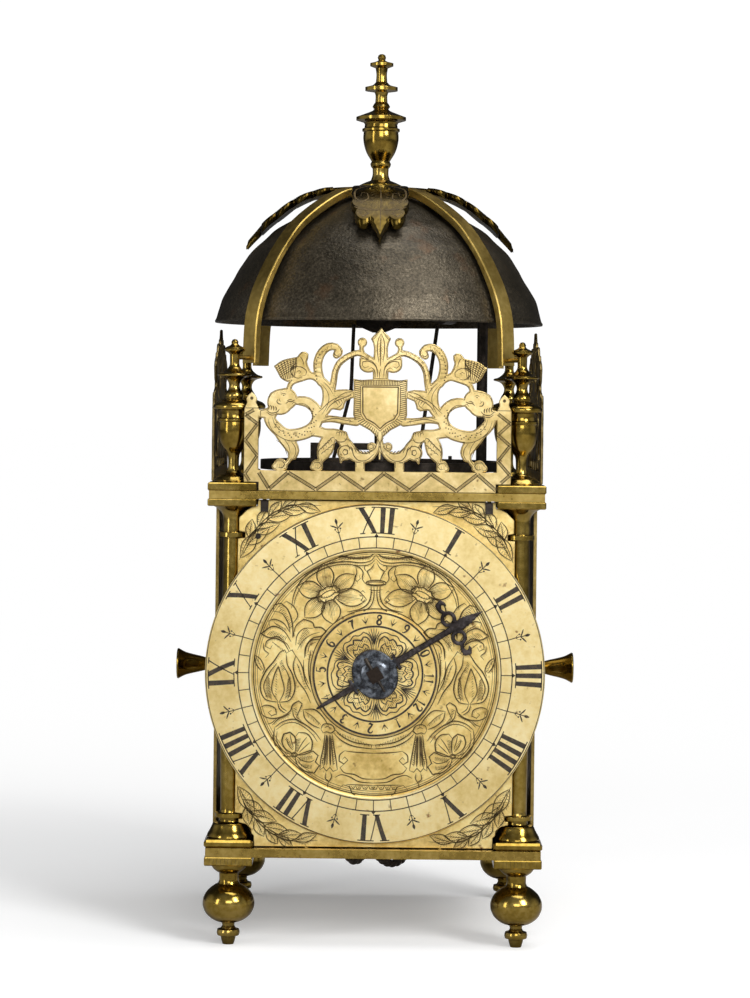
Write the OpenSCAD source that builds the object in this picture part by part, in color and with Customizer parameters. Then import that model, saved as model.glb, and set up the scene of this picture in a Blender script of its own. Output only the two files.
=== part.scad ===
// Balance-controlled lantern clock with alarm.
// Millimetres, +Z up, front (dial) towards -Y, origin on the floor under the centre.

/* [Frame] */
// Half distance between pillar axes
pil = 65; // [64.6:0.2:65.2]
// Half width of the bottom plate
bp_half = 75.3; // [75.2:0.1:76]
// Half width of the top plate
tp_half = 75.4; // [75.2:0.1:76]
// Radius of the pillar shafts
shaft_r = 4.2; // [3.8:0.1:4.2]
// Radius of the ball of each foot
ball_r = 11.7; // [10.6:0.1:12.2]
// Radius of the threaded spigots that hold pillars, feet and finials together
spig_r = 2.6; // [2.2:0.1:2.8]

/* [Bell and strap] */
// Width of each strap arm
strap_w = 8.5; // [7.5:0.5:9.5]
// Wall of the bell at the crown
bell_wall = 3.4; // [3:0.2:3.6]
// Radius of the stud of the centre finial
stud_r = 2.5; // [2:0.1:2.8]

/* [Dial] */
// Half width of the dial plate
dial_half = 62.5; // [61:0.1:62.6]
// Outer radius of the chapter ring
ring_ro = 76.5; // [74:0.5:76.5]
// Inner radius of the chapter ring
ring_ri = 55.5; // [54:0.5:56.5]
// Radius of the alarm disc
disc_r = 28.2; // [26:0.2:30]
// Height of the dial centre above the floor
dial_z = 123.2; // [123.2]
// Angle of the hand, counter-clockwise from 3 o'clock
hand_a = 31.1; // [0:0.1:360]

/* [Movement] */
// Thickness of the iron movement bars
bar_t = 3; // [2.6:0.2:3]
// Radial clearance of the pivots in their holes
fit = 0.05; // [0.03:0.01:0.08]
// Outer radius of the balance wheel
bal_r = 57; // [54:0.5:57]
// Number of teeth of the crown wheel
crown_n = 19; // [17:2:21]
// Number of hammer pins on the strike great wheel
pin_n = 8; // [6:1:8]

/* [Hidden] */
$fn = 64;
bz0 = 40.5; bz1 = 44.5; tz0 = 201.4; tz1 = 205;
gz = 81.5;          // going great arbor
sz = gz + 36.3;     // second arbor
cx = 2; cz = sz + sqrt(27*27 - cx*cx);  // crown wheel arbor
kz = 88;            // strike great arbor
hz = kz + 36.225;   // hoop arbor
fz = hz + 27;       // fly arbor
nx = 38.7*sin(22); nz = kz + 38.7*cos(22);  // count wheel stud
vy = -8;            // verge
hx = 50.6; hy = 38; // strike hammer arbor
ay = 63;            // alarm verge
az = 172;           // alarm wheel
lx = -34; lz = 150; // lifting arbor
dx = -30; dz = 165; // locking detent arbor
ex = 34; ez = 165;  // alarm detent arbor
rope_r = 2;
// Routes of the two rope loops in x and z, chosen by hand
going_route = [[0.5,92.9],[-4.5,91.9],[-8.5,89],[-11,84.5],[-11.4,79],[-11.6,72],[-11.8,64],[-12,56],[-12.2,48],[-12.3,41],[-12,36.5],[-11,33.8],[-9,32.4],[-6.8,32.8],[-5.1,34.6],[-4.6,38.5],[-4.3,44],[-1.5,51],[2.5,58],[6.5,65],[9.8,72],[11.3,78],[11.2,84],[9,88.6],[5.5,91.6]];
strike_route = [[0.5,99.4],[-4.5,98.4],[-8.5,95.5],[-11,91],[-11.4,85.5],[-10.6,78],[-8.4,70],[-6,62],[-3.4,54],[-1.4,47],[-0.6,41],[-0.4,34],[0.6,29],[3.2,24.8],[7,22.4],[10.6,22.2],[14,24],[16.6,27.6],[17.6,32],[17.9,38],[17.7,45],[16.9,53],[15.4,62],[13.4,71],[11.8,79],[11.3,85],[11.1,90.5],[9,95.1],[5.5,98.1]];

// ---------- helpers ----------
module yex(x, z, y0, y1) { translate([x, y1, z]) rotate([90, 0, 0]) linear_extrude(y1 - y0) children(); }
module ycyl(x, z, y0, y1, r) { translate([x, y1, z]) rotate([90, 0, 0]) cylinder(r = r, h = y1 - y0); }
module zcyl(x, y, z0, z1, r) { translate([x, y, z0]) cylinder(r = r, h = z1 - z0); }
module box(x0, x1, y0, y1, z0, z1) { translate([x0, y0, z0]) cube([x1 - x0, y1 - y0, z1 - z0]); }
module corners() { for (i = [0:3]) rotate([0, 0, 90*i]) translate([pil, pil, 0]) children(); }
module bar2(p, q, w) {
  d = [q[0]-p[0], q[1]-p[1]]; l = norm(d);
  translate(p) circle(r = w/2);
  translate(q) circle(r = w/2);
  translate(p) rotate(atan2(d[1], d[0])) translate([0, -w/2]) square([l, w]);
}
// toothed outline: n teeth, tip radius rt, root radius rr, tooth width at tip and root, angle of one tooth
function teeth(n, rt, rr, wt, wr, ph) = [for (i = [0:n-1]) let(a = ph + 360*i/n, ht = asin(wt/2/rt), hr = asin(wr/2/rr))
  each [[rr*cos(a-hr), rr*sin(a-hr)], [rt*cos(a-ht), rt*sin(a-ht)], [rt*cos(a+ht), rt*sin(a+ht)], [rr*cos(a+hr), rr*sin(a+hr)]]];
module toothed(n, rt, rr, wt, wr, ph) { polygon(teeth(n, rt, rr, wt, wr, ph)); }
// wheel with four crossings
module crossed(n, rt, rr, wt, wr, ph, rim, hub, bore, turn = 45) {
  difference() {
    toothed(n, rt, rr, wt, wr, ph);
    difference() {
      circle(r = rr - rim);
      circle(r = hub);
      for (k = [0:1]) rotate(turn + 90*k) square([2*rt, 3.4], center = true);
    }
    circle(r = bore);
  }
}
// arbor along Y: shoulder to shoulder y0..y1, pivots reaching p0 and p1
module arbor(x, z, y0, y1, r, p0, p1, pr) { ycyl(x, z, y0, y1, r); ycyl(x, z, p0, y0, pr); ycyl(x, z, y1, p1, pr); }
// rope groove pulley, 9 wide
module pulley(x, z, y0) {
  translate([x, y0, z]) rotate([-90, 0, 0]) rotate_extrude()
    polygon([[2+fit,0],[13.5,0],[13.5,0.8],[9.2,2.8],[8.6,3.4],[8.6,5.6],[9.2,6.2],[13.5,8.2],[13.5,9],[2+fit,9]]);
}
// closed swept tube: route in x,z at depth y
module tube(route, y, r, s) {
  n = len(route);
  pts = [for (i = [0:n-1]) let(a = route[(i+n-1)%n], b = route[(i+1)%n], d = [b[0]-a[0], b[1]-a[1]]/norm([b[0]-a[0], b[1]-a[1]]), c = route[i])
    for (k = [0:s-1]) let(u = r*cos(360*k/s), v = r*sin(360*k/s)) [c[0] - u*d[1], y + v, c[1] + u*d[0]]];
  fcs = [for (i = [0:n-1]) for (k = [0:s-1]) let(j = (i+1)%n, m = (k+1)%s)
    each [[i*s+k, i*s+m, j*s+m], [i*s+k, j*s+m, j*s+k]]];
  polyhedron(points = pts, faces = fcs, convexity = 6);
}

// ---------- posted frame ----------
module bottom_plate() color([0.70, 0.58, 0.34]) difference() {
  box(-bp_half, bp_half, -bp_half, bp_half, bz0, bz1);
  corners() zcyl(0, 0, bz0-1, bz1+1, spig_r+fit);
  for (y = [-45, 0, 45]) box(-5.05, 5.05, y-bar_t/2-0.02, y+bar_t/2+0.02, bz0-1, bz1+1);
  zcyl(hx, hy, bz0-1, bz1+1, 1.5+fit);
  for (s = [-1, 1]) { zcyl(s*72.45, 49.5, bz0-1, bz1+1, 1+fit); zcyl(s*30, -69.5, bz0-1, bz1+1, 1+fit); }
  for (s = [-1, 1]) zcyl(s*30, 70.8, bz0-1, bz1+1, 0.7+fit);
  box(-16, -1, -32.5, -24.5, bz0-1, bz1+1);
  box(-5, 22, 26.4, 35, bz0-1, bz1+1);
}
module top_plate() color([0.70, 0.58, 0.34]) difference() {
  box(-tp_half, tp_half, -tp_half, tp_half, tz0, tz1);
  corners() zcyl(0, 0, tz0-1, tz1+1, spig_r+fit);
  for (y = [-45, 0, 45]) box(-5.05, 5.05, y-bar_t/2-0.02, y+bar_t/2+0.02, tz0-1, tz1+1);
  zcyl(cx, vy, tz0-1, tz1+1, 4);
  zcyl(hx, hy, tz0-1, tz1+1, 2.6+fit);
  zcyl(0, ay, tz0-1, tz1+1, 1.5+fit);
  for (s = [-1, 1]) { zcyl(s*72.45, 49.5, tz0-1, tz1+1, 1+fit); zcyl(s*25, -66.8, tz0-1, tz1+1, 1.2); zcyl(-70.4, s*25, tz0-1, tz1+1, 1.2); zcyl(70.4, s*25, tz0-1, tz1+1, 1.2); zcyl(s*30, 70.8, tz0-1, tz1+1, 0.7+fit); }
}
module pillar() {
  rotate_extrude() polygon([[0,48.2],[10.2,48.2],[10.6,49.4],[10.6,52.6],[9.8,54.2],[8,54.8],[5,55.4],[5,57.5],[6.6,57.5],[6.6,59.3],[4.5,59.6],[shaft_r,61],[shaft_r+0.5,110],[shaft_r+0.2,150],[shaft_r,183.8],[6.4,184],[6.4,186],[4.5,186.3],[4.4,193],[5,194.6],[6.6,196.4],[9.4,198.1],[0,198.1]]);
  box(-11, 11, -11, 11, bz1, 48.2);
  box(-11, 11, -11, 11, 198.1, tz0);
  zcyl(0, 0, 30.5, bz1, spig_r);
  zcyl(0, 0, tz0, 212, spig_r);
}
module pillars() color([0.69, 0.56, 0.32]) corners() pillar();
module foot() difference() {
  union() {
    rotate_extrude() polygon([[0,0],[2.6,0],[3.1,2],[3.4,3.5],[4.9,4],[5.2,5.3],[4.9,6.7],[3.4,7.2],[2.7,8.4],[3,9.7],[6.6,10.9],[9.8,13.4],[11.4,16.4],[ball_r,18.6],[11.4,20.9],[9.8,23.8],[6.8,26.4],[4.9,27.4],[4.4,28.8],[4.4,32.2],[5.6,32.8],[7.2,34.2],[8.7,36.6],[0,36.6]]);
    box(-10.8, 10.8, -10.8, 10.8, 36.6, bz0);
  }
  zcyl(0, 0, 30, bz0+1, spig_r+fit);
}
module ball_feet() color([0.70, 0.57, 0.33]) corners() foot();
module finial() difference() {
  union() {
    box(-11, 11, -11, 11, tz1, 208.6);
    rotate_extrude() polygon([[0,208.6],[8.6,208.6],[8.8,209.6],[7.8,210.6],[6.9,211.5],[3.4,213],[2.5,214.8],[2.5,217.8],[2.8,221],[3.4,222.3],[5,224.6],[6.5,227.8],[7.2,231.5],[7.1,235.8],[7.4,236.2],[7.4,237.2],[6.6,237.6],[6.3,239],[6.5,241],[9.2,241.8],[9.2,243.3],[8.4,244.4],[6,245.4],[3.8,246.1],[4.2,247.6],[3.9,248.8],[2.9,250.3],[2.5,252],[2.9,254],[4,255.4],[5.4,256.1],[7.8,256.8],[7.8,257.5],[5.4,258.2],[4.2,259.1],[3.1,260],[2.2,261.6],[2.2,266.6],[3.1,267.2],[4.7,268],[4.7,269],[3.9,269.6],[2.2,270.4],[1.5,271.1],[1.5,272.2],[0.9,273.1],[0,273.3]]);
  }
  zcyl(0, 0, tz1-1, 212.6, spig_r+fit);
}
module corner_finials() color([0.71, 0.58, 0.34]) corners() difference() {
  finial();
  translate([0.5, 0.5, 265]) rotate([0, 90, 225]) cylinder(r = 1+fit, h = 6);
}

// ---------- bell, strap and crests ----------
module bell_strap() color([0.68, 0.56, 0.33]) difference() {
  union() {
    zcyl(0, 0, 343, 346.4, 9.5);
    for (i = [0:3]) rotate([0, 0, 45+90*i]) {
      rotate([90, 0, 0]) translate([0, 0, -strap_w/2]) linear_extrude(strap_w)
        polygon([[0,343],[9.5,343],[26,340.6],[50.6,327.2],[63.6,314.6],[71.8,301.8],[76.7,291],[79.2,281.2],[80.3,262.6],[83.7,262.6],[82.7,281.4],[80,292.1],[74.8,302.9],[65.8,316.2],[52.5,330],[27,344.2],[9.5,346.4],[0,346.4]]);
      translate([82, 0, 265]) rotate([0, 90, 0]) cylinder(r = 1, h = 10.2);
    }
  }
  zcyl(0, 0, 340, 350, stud_r+0.1);
}
module crest2d() {
  translate([6, -3.4]) square([20, 6.8]);
  translate([22, -10.4]) square([28.6, 20.8]);
  for (s = [-1, 1]) {
    translate([27.5, s*9.2]) circle(r = 3.9);
    translate([36, s*9]) circle(r = 4.3);
    translate([45, s*9]) circle(r = 4.3);
    translate([52, s*7.4]) circle(r = 4.2);
  }
  polygon([[50,-4.4],[56.4,-4],[58.4,-2.4],[63.4,0],[58.4,2.4],[56.4,4],[50,4.4]]);
}
module bell_crests() color([0.70, 0.58, 0.35]) difference() {
  union() {
    zcyl(0, 0, 346.4, 347.3, 8.2);
    for (i = [0:3]) rotate([0, 0, 90*i]) intersection() {
      rotate([90, 0, 0]) translate([0, 0, -20]) linear_extrude(40)
        polygon([[0,347.3],[12,347.2],[24.7,346.2],[35.2,343.2],[42.8,339.1],[49.3,334.2],[54.8,329.8],[59.1,325],[62.4,321.2],[63.6,319.2],[61.4,318],[56.8,323],[52.6,327.4],[47.3,331.6],[41.2,336.4],[34.4,340.2],[24.4,343.2],[12,345.6],[10,346.4],[0,346.4]]);
      translate([0, 0, 300]) linear_extrude(60) crest2d();
    }
  }
  zcyl(0, 0, 340, 350, stud_r+0.1);
}
module bell() color([0.22, 0.16, 0.12]) rotate_extrude($fn = 96)
  polygon([[stud_r+0.1,343],[8,343],[15,342],[30,337],[42.4,330.4],[50,325.8],[54.3,321.7],[60.4,316.2],[65.2,309.2],[69,302.6],[74,294],[77.2,284],[77.6,282.9],[77.4,282.2],[74.6,282.2],[74,284],[70.6,293.4],[65.8,301.4],[62.2,307.6],[57.6,314],[51.8,319.2],[47.8,322.6],[40.8,327.2],[29,333.4],[14.4,338.2],[9,343-bell_wall],[stud_r+0.1,343-bell_wall]]);
module bell_nut() color([0.3, 0.28, 0.26]) difference() {
  translate([0, 0, 335.8]) cylinder(r = 6.4, h = 343-bell_wall-335.8, $fn = 6);
  zcyl(0, 0, 330, 345, stud_r+fit);
}
module centre_finial() color([0.72, 0.60, 0.36]) {
  rotate_extrude() polygon([[0,347.3],[9.7,347.3],[9.7,348.2],[7.6,349.2],[4.6,350.4],[3.8,353],[3.8,356],[4.6,357],[4.9,358.3],[4.3,359.4],[4.8,360.2],[6.8,363.6],[8,367.4],[8.4,370.6],[8.2,373.3],[8.9,373.7],[8.9,374.8],[7.9,375.3],[7.7,376.8],[8.2,377.8],[11.8,378.9],[11.8,380.4],[8.6,381.6],[4.2,383.4],[3.4,384.2],[4.2,385.3],[3.6,386.5],[2.9,387.4],[2.8,390.6],[3.3,392.2],[7.7,392.9],[7.7,394.6],[4.2,395.6],[2.7,397],[2.5,400.6],[2.9,403.6],[5.5,404.6],[5.5,406],[2.6,406.8],[1.6,407.4],[2,408.6],[1.6,409.8],[0.7,410.3],[0,410.3]]);
  zcyl(0, 0, 334, 347.3, stud_r);
}

// ---------- frets ----------
// the ornament is drawn in small drawing units, 0.0907 mm each, x to the right and y downwards
function du(p) = [(p[0]-768)*0.0907, 291.4-p[1]*0.0907];
function cr(a, b, c, d, t) = 0.5*(2*b + (c-a)*t + (2*a-5*b+4*c-d)*t*t + (3*b-a-3*c+d)*t*t*t);
function smooth(p, m) = let(n = len(p)) [for (i = [0:n-2]) for (j = [0:(i == n-2 ? m : m-1)]) cr(p[max(i-1,0)], p[i], p[i+1], p[min(i+2,n-1)], j/m)];
// tapering stem through points [x, y, width]
module stem(p, m = 2) {
  q = smooth(p, m); n = len(q);
  d = [for (i = [0:n-1]) let(v = [q[min(i+1,n-1)][0]-q[max(i-1,0)][0], q[min(i+1,n-1)][1]-q[max(i-1,0)][1]]) v/norm(v)];
  polygon(concat([for (i = [0:n-1]) du([q[i][0]-d[i][1]*q[i][2]/2, q[i][1]+d[i][0]*q[i][2]/2])], [for (i = [n-1:-1:0]) du([q[i][0]+d[i][1]*q[i][2]/2, q[i][1]-d[i][0]*q[i][2]/2])]));
}
module blob(x, y, r, n = 12) polygon([for (i = [0:n-1]) du([x+r*cos(360*i/n+7), y+r*sin(360*i/n+7)])]);
// left half: beast with curled neck, thistle, scrolls and leaves
module oval(x, y, rx, ry, n = 16) polygon([for (i = [0:n-1]) du([x+rx*cos(360*i/n+7), y+ry*sin(360*i/n+7)])]);
module pd(p) polygon([for (q = p) du(q)]);
module fret_half() {
  stem([[232,560,60],[246,625,66],[300,672,64],[372,670,66],[432,640,66],[458,590,52],[446,545,44],[408,510,40],[350,498,34]]);
  oval(283, 501, 78, 58);
  pd([[178,548],[226,536],[232,596],[178,590]]);
  stem([[290,676,72],[320,716,70],[338,752,58],[336,778,44]]);
  stem([[330,764,26],[322,796,24],[296,826,26]]);
  blob(276, 824, 35, 10);
  stem([[318,470,28],[326,432,30],[372,394,34],[424,380,38],[470,402,42],[498,430,52],[512,466,62],[506,524,60],[474,580,46]]);
  pd([[238,335],[262,316],[305,292],[352,286],[374,264],[394,260],[411,278],[404,308],[420,352],[440,372],[430,394],[380,396],[350,404],[306,412],[272,392],[252,360]]);
  stem([[474,410,44],[459,360,44],[457,311,44],[475,264,42],[508,236,40],[548,238,34]]);
  blob(556, 263, 26, 10);
  stem([[520,474,44],[536,406,34],[543,359,32],[561,318,32],[592,290,32],[624,273,30],[656,264,30],[692,280,28],[734,304,30]]);
  blob(676, 214, 25, 10);
  stem([[676,218,26],[672,244,24],[680,272,28]]);
  pd([[500,470],[553,449],[600,446],[642,452],[642,484],[600,502],[588,540],[570,551],[537,545],[500,556],[476,580],[470,540]]);
  stem([[462,596,44],[524,592,34],[590,601,38],[650,605,44]]);
  stem([[436,650,62],[500,664,50],[556,668,54],[590,702,62],[618,746,68],[664,780,60],[714,778,50],[750,742,34],[766,694,24]]);
  blob(596, 757, 40, 12);
  pd([[562,762],[616,788],[594,800],[575,814],[564,792]]);
  blob(574, 684, 38, 12);
  blob(728, 728, 24, 10);
  stem([[530,676,54],[510,706,78],[498,742,82],[486,772,58],[478,796,32],[472,824,28]]);
  blob(459, 825, 32, 10);
  pd([[646,800],[696,800],[696,856],[646,856]]);
  pd([[662,288],[693,289],[722,297],[752,318],[762,350],[757,396],[731,396],[729,357],[703,362],[676,352],[663,332]]);
}
module fret2d() {
  translate([-53.4, 205]) square([106.8, 9.4]);
  for (s = [-1, 1]) {
    translate([s*56.7-3.3, 208.9]) square([6.6, 33.2]);
    translate([s*53-2, 208.9]) square([4, 5.5]);
    polygon([[s*53.4,242.1],[s*54.6,244.6],[s*54.2,246.4],[s*56.7,249.4],[s*59.2,246.4],[s*58.8,244.6],[s*60,242.1]]);
  }
  translate([1, 0]) {
    fret_half();
    mirror([1, 0]) fret_half();
    // blank shield, its foot and the fleur-de-lis
    polygon([du([634,392]), du([902,392]), du([902,572]), du([884,612]), du([820,646]), du([768,694]), du([716,646]), du([652,612]), du([634,572])]);
    polygon([du([744,660]), du([792,660]), du([786,800]), du([750,800])]);
    pd([[768,139],[788,160],[818,193],[807,216],[803,244],[804,290],[806,396],[730,396],[732,290],[733,244],[729,216],[718,193],[748,160]]);
  }
}
module front_fret() color([0.72, 0.59, 0.32]) {
  translate([0, -73.8, 0]) rotate([90, 0, 0]) linear_extrude(1.4) fret2d();
  for (s = [-1, 1]) difference() { box(s*25-3.6, s*25+3.6, -74.3, -63.8, tz1, 206.3); zcyl(s*25, -66.8, 204, 208, 1.2); }
}
module side_fret() {
  rotate([90, 0, 90]) translate([0, 0, 73.8]) linear_extrude(1.4) fret2d();
  for (s = [-1, 1]) difference() { box(67.4, 74.3, s*25-3.6, s*25+3.6, tz1, 206.3); zcyl(70.4, s*25, 204, 208, 1.2); }
}
module side_frets() color([0.60, 0.50, 0.30]) for (k = [0, 180]) rotate([0, 0, k]) side_fret();
module screw(x, y) { zcyl(x, y, 201.6, 206.3, 1.15); difference() { zcyl(x, y, 206.3, 207.8, 2.5); box(x-3, x+3, y-0.35, y+0.35, 207.2, 208); } }
module fret_screws() color([0.2, 0.19, 0.18]) { for (s = [-1, 1]) { screw(s*25, -66.8); screw(-70.4, s*25); screw(70.4, s*25); } }

// ---------- dial ----------
module dial_plate() color([0.74, 0.64, 0.40]) {
  difference() {
    yex(0, 0, -70.5, -68.5) difference() {
      translate([-dial_half, 44.8]) square([2*dial_half, 156.2]);
      for (s = [-1, 1]) { translate([s*58.7-5, 40]) square([10, 20.2]); translate([s*58.7-5, 182.8]) square([10, 24]); }
      translate([0, dial_z]) circle(r = 6.2);
    }
    for (a = [45:90:315]) ycyl(66*cos(a), dial_z+66*sin(a), -71, -68, 1.25);
  }
  for (s = [-1, 1]) zcyl(s*30, -69.5, 41.5, 44.8, 0.95);
}
module chapter_ring() color([0.78, 0.70, 0.50]) {
  yex(0, dial_z, -72.3, -70.5) difference() { circle(r = ring_ro, $fn = 128); circle(r = ring_ri, $fn = 128); }
  for (a = [45:90:315]) ycyl(66*cos(a), dial_z+66*sin(a), -70.5, -66.4, 1.2);
}
module dial_latches() color([0.16, 0.14, 0.13]) {
  for (s = [-1, 1]) { box(s*50.5-1.7, s*50.5+1.7, -73.4, -70.5, 195.6, 200.6); box(s*50.5-0.9, s*50.5+0.9, -72.6, -71, 200.6, tz0); }
  ycyl(-53.2, 184.6, -72.4, -70.5, 1.25);
}
module hand2d() {
  difference() {
    union() {
      for (s = [-1, 1]) translate([0, s*1.5]) circle(r = 10);
      square([20, 3], center = true);
      polygon([[8,-1.9],[46,-1.2],[46,1.2],[8,1.9]]);
      polygon([[-8,1.9],[-30.4,0.5],[-30.4,-0.5],[-8,-1.9]]);
      translate([10.4, -3.9]) square([1.8, 7.8]);
      translate([-12.2, -3.9]) square([1.8, 7.8]);
      for (s = [-1, 1]) {
        difference() { translate([40.7, s*4.6]) circle(r = 3.6); translate([40.7, s*4.6]) circle(r = 1.6); }
        translate([39.7, s*9.4-2.6]) square([1.8, 5.2]);
        translate([40.2, s*12.4]) circle(r = 1.9);
      }
      polygon([[42,-1.8],[45,-2.7],[47,-2],[56.4,0],[47,2],[45,2.7],[42,1.8]]);
    }
    square(6.1, center = true);
  }
}
module clock_hand() color([0.12, 0.13, 0.18]) yex(0, dial_z, -75.2, -73.8) rotate(hand_a) hand2d();
module hand_collet() color([0.12, 0.13, 0.18]) difference() {
  translate([0, -75.2, dial_z]) rotate([90, 0, 0]) rotate_extrude() polygon([[0,0],[6.6,0],[6.4,0.9],[5.2,1.6],[0,1.9]]);
  yex(0, dial_z, -80, -70) rotate(hand_a) square(6.1, center = true);
}
module hand_pin() color([0.10, 0.10, 0.11]) translate([0, -78, dial_z]) rotate([0, -hand_a-90, 0]) rotate([0, 90, 0]) translate([0, 0, -6.4]) cylinder(r = 0.7, h = 12.8);
module alarm_disc() color([0.76, 0.66, 0.42]) {
  yex(0, dial_z, -72.5, -71.1) difference() { circle(r = disc_r, $fn = 96); circle(r = 4.4+fit); }
  yex(0, dial_z, -71.1, -60) difference() { circle(r = 5.6); circle(r = 4.4+fit); }
  yex(0, dial_z, -62, -60) difference() { circle(r = 9); circle(r = 5.6); polygon([[0,0],[14,3.4],[14,-3.4]]); }
}

// ---------- back plate and movement bars ----------
module back_plate() color([0.24, 0.21, 0.19]) difference() {
  union() {
    box(-53.4, 53.4, 70, 71.6, 44.8, 201.1);
    box(-4, 4, 59.6, 70, 147, 150);
    for (s = [-1, 1]) zcyl(s*30, 70.8, 41.5, 204, 0.7);
  }
  zcyl(0, ay, 146, 151, 0.8+fit);
  ycyl(ex, ez, 69, 73, 1.2+fit);
}
module bar_blank() {
  translate([-8, bz1]) square([16, tz0-bz1]);
  translate([-5, 36]) square([10, 170-5]);
  translate([-5, 195]) square([10, tz1-195]);
  translate([-39, 145.5]) square([40, 9]);
  translate([0, 160.5]) square([39, 9]);
}
module wedge_slot(y) box(-1.5, 1.5, y-6, y+6, 38, 40.5);
module front_bar() color([0.22, 0.20, 0.19]) {
  difference() {
    yex(0, 0, -45-bar_t/2, -45+bar_t/2) bar_blank();
    ycyl(0, gz, -48, -42, 2+fit); ycyl(0, sz, -48, -42, 0.9+fit); ycyl(cx, cz, -48, -42, 0.8+fit);
    ycyl(lx, lz, -48, -42, 1.4+fit); ycyl(ex, ez, -48, -42, 1.8+fit);
    wedge_slot(-45);
  }
  ycyl(0, dial_z, -66, -45-bar_t/2, 2.5);
}
module centre_bar() color([0.22, 0.20, 0.19]) difference() {
  yex(0, 0, -bar_t/2, bar_t/2) union() { bar_blank(); translate([-35, 160.5]) square([36, 9]); }
  ycyl(0, gz, -3, 3, 1.2+fit); ycyl(0, sz, -3, 3, 0.9+fit);
  ycyl(0, kz, -3, 3, 1.2+fit); ycyl(0, hz, -3, 3, 0.9+fit); ycyl(0, fz, -3, 3, 0.8+fit);
  ycyl(lx, lz, -3, 3, 2.2); ycyl(ex, ez, -3, 3, 2.4); ycyl(dx, dz, -3, 3, 0.9+fit);
  wedge_slot(0);
}
module rear_bar() color([0.22, 0.20, 0.19]) {
  difference() {
    yex(0, 0, 45-bar_t/2, 45+bar_t/2) union() { bar_blank(); translate([-35, 160.5]) square([36, 9]); translate([0, 118.5]) square([20, 11]); }
    ycyl(0, kz, 42, 48, 1.8+fit); ycyl(0, hz, 42, 48, 0.9+fit); ycyl(0, fz, 42, 48, 0.8+fit);
    ycyl(lx, lz, 42, 48, 0.9+fit); ycyl(ex, ez, 42, 48, 2.4); ycyl(dx, dz, 42, 48, 1.4+fit);
    wedge_slot(45);
  }
  ycyl(nx, nz, 45+bar_t/2, 51.6, 2.5);
  ycyl(0, az, 45+bar_t/2, 59.4, 2);
}
module bar_wedges() color([0.20, 0.18, 0.17]) for (y = [-45, 0, 45]) translate([0, y, 0]) rotate([90, 0, 90]) translate([0, 0, -1.4]) linear_extrude(2.8) polygon([[-5.6,38.4],[5.6,38.1],[5.6,40.5],[-5.6,40.5]]);
module balance_cock() color([0.23, 0.20, 0.18]) difference() {
  union() {
    box(-38, -26, vy-5, vy+5, tz1, 206.6);
    box(-31.5, -28.1, vy-3, vy+3, 206.6, 226);
    box(-31.5, 3.8, vy-3, vy+3, 222.8, 226);
    zcyl(cx, vy, 222.8, 226, 4);
    zcyl(-35, vy, 206.6, 208, 1.9);
  }
  zcyl(cx, vy, 220, 228, 0.8+fit);
}
module verge_potence() color([0.23, 0.20, 0.18]) difference() {
  union() { box(-2, 6, vy-3, -bar_t/2, 120.2, 123.2); box(-4, 8, -3.2, -bar_t/2, 120.2, 128); }
  zcyl(cx, vy, 119, 125, 0.8+fit);
}
module crown_potence() color([0.23, 0.20, 0.18]) difference() {
  union() { box(-9.4, -5.8, -14, -bar_t/2, cz-4, cz+4); box(-9.4, 5.6, -14, -12, cz-4, cz+4); box(-9.4, 0, -3.2, -bar_t/2, cz-4, cz+4); }
  ycyl(cx, cz, -15, -11, 0.8+fit);
}
module hammer_spring() color([0.25, 0.23, 0.22]) { box(54.6, 64, hy-4, hy+4, bz1, 46.4); box(58.4, 59.4, hy-3, hy+3, 46.4, 112); }
// wire through points in x and z, with a foot riveted to the top plate
module wire(y, p, r) {
  for (i = [0:len(p)-2]) let(a = p[i], b = p[i+1]) translate([a[0], y, a[1]]) rotate([0, atan2(b[0]-a[0], b[1]-a[1]), 0]) cylinder(r = r, h = norm([b[0]-a[0], b[1]-a[1]]));
  for (i = [1:1:len(p)-2]) translate([p[i][0], y, p[i][1]]) sphere(r = r+0.25);
  zcyl(p[0][0], y, tz1, 206.8, 3.4);
}
module check_wires() color([0.22, 0.20, 0.19]) {
  wire(56, [[18.8, 206], [29, 283.2]], 0.95);
  wire(50, [[-24.2, 206], [-13.2, 251], [-12.2, 283.4]], 0.9);
}
module going_rope() color([0.30, 0.24, 0.18]) tube(going_route, -28.5, rope_r, 8);
module strike_rope() color([0.30, 0.24, 0.18]) tube(strike_route, 30.7, rope_r, 8);

// ---------- going train ----------
module great_wheel() color([0.70, 0.57, 0.30]) yex(0, gz, -22, -19) crossed(60, 34, 31.7, 0.9, 1.9, 90, 3.4, 8, 2);
module great_arbor() color([0.33, 0.32, 0.32]) {
  ycyl(0, gz, -47.4, -1.8, 2);
  ycyl(0, gz, -1.8, 1.4, 1.2);
  ycyl(0, gz, -34.6, -33.3, 3.4);
  yex(0, gz, -58.4, -47.4) toothed(6, 3.95, 1.9, 0.7, 1.2, 90+30);
}
module going_pulley() color([0.66, 0.54, 0.30]) {
  pulley(0, gz, -33);
  // ring click against the wheel crossings
  yex(0, gz, -24, -22.9) difference() { circle(r = 12.6); circle(r = 11); polygon([[0,0],[20,6],[20,-6]]); }
}
module second_wheel() color([0.70, 0.57, 0.30]) yex(0, sz, -38, -36) crossed(54, 25.1, 23.2, 0.7, 1.5, 90-asin(cx/27), 2.8, 6, 1.8);
module second_arbor() color([0.33, 0.32, 0.32]) {
  difference() { union() { arbor(0, sz, -43.2, -1.8, 1.8, -46.4, 1.4, 0.9); yex(0, sz, -24.5, -16.5) toothed(6, 4.1, 2, 0.7, 1.2, 270+30); } }
}
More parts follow.
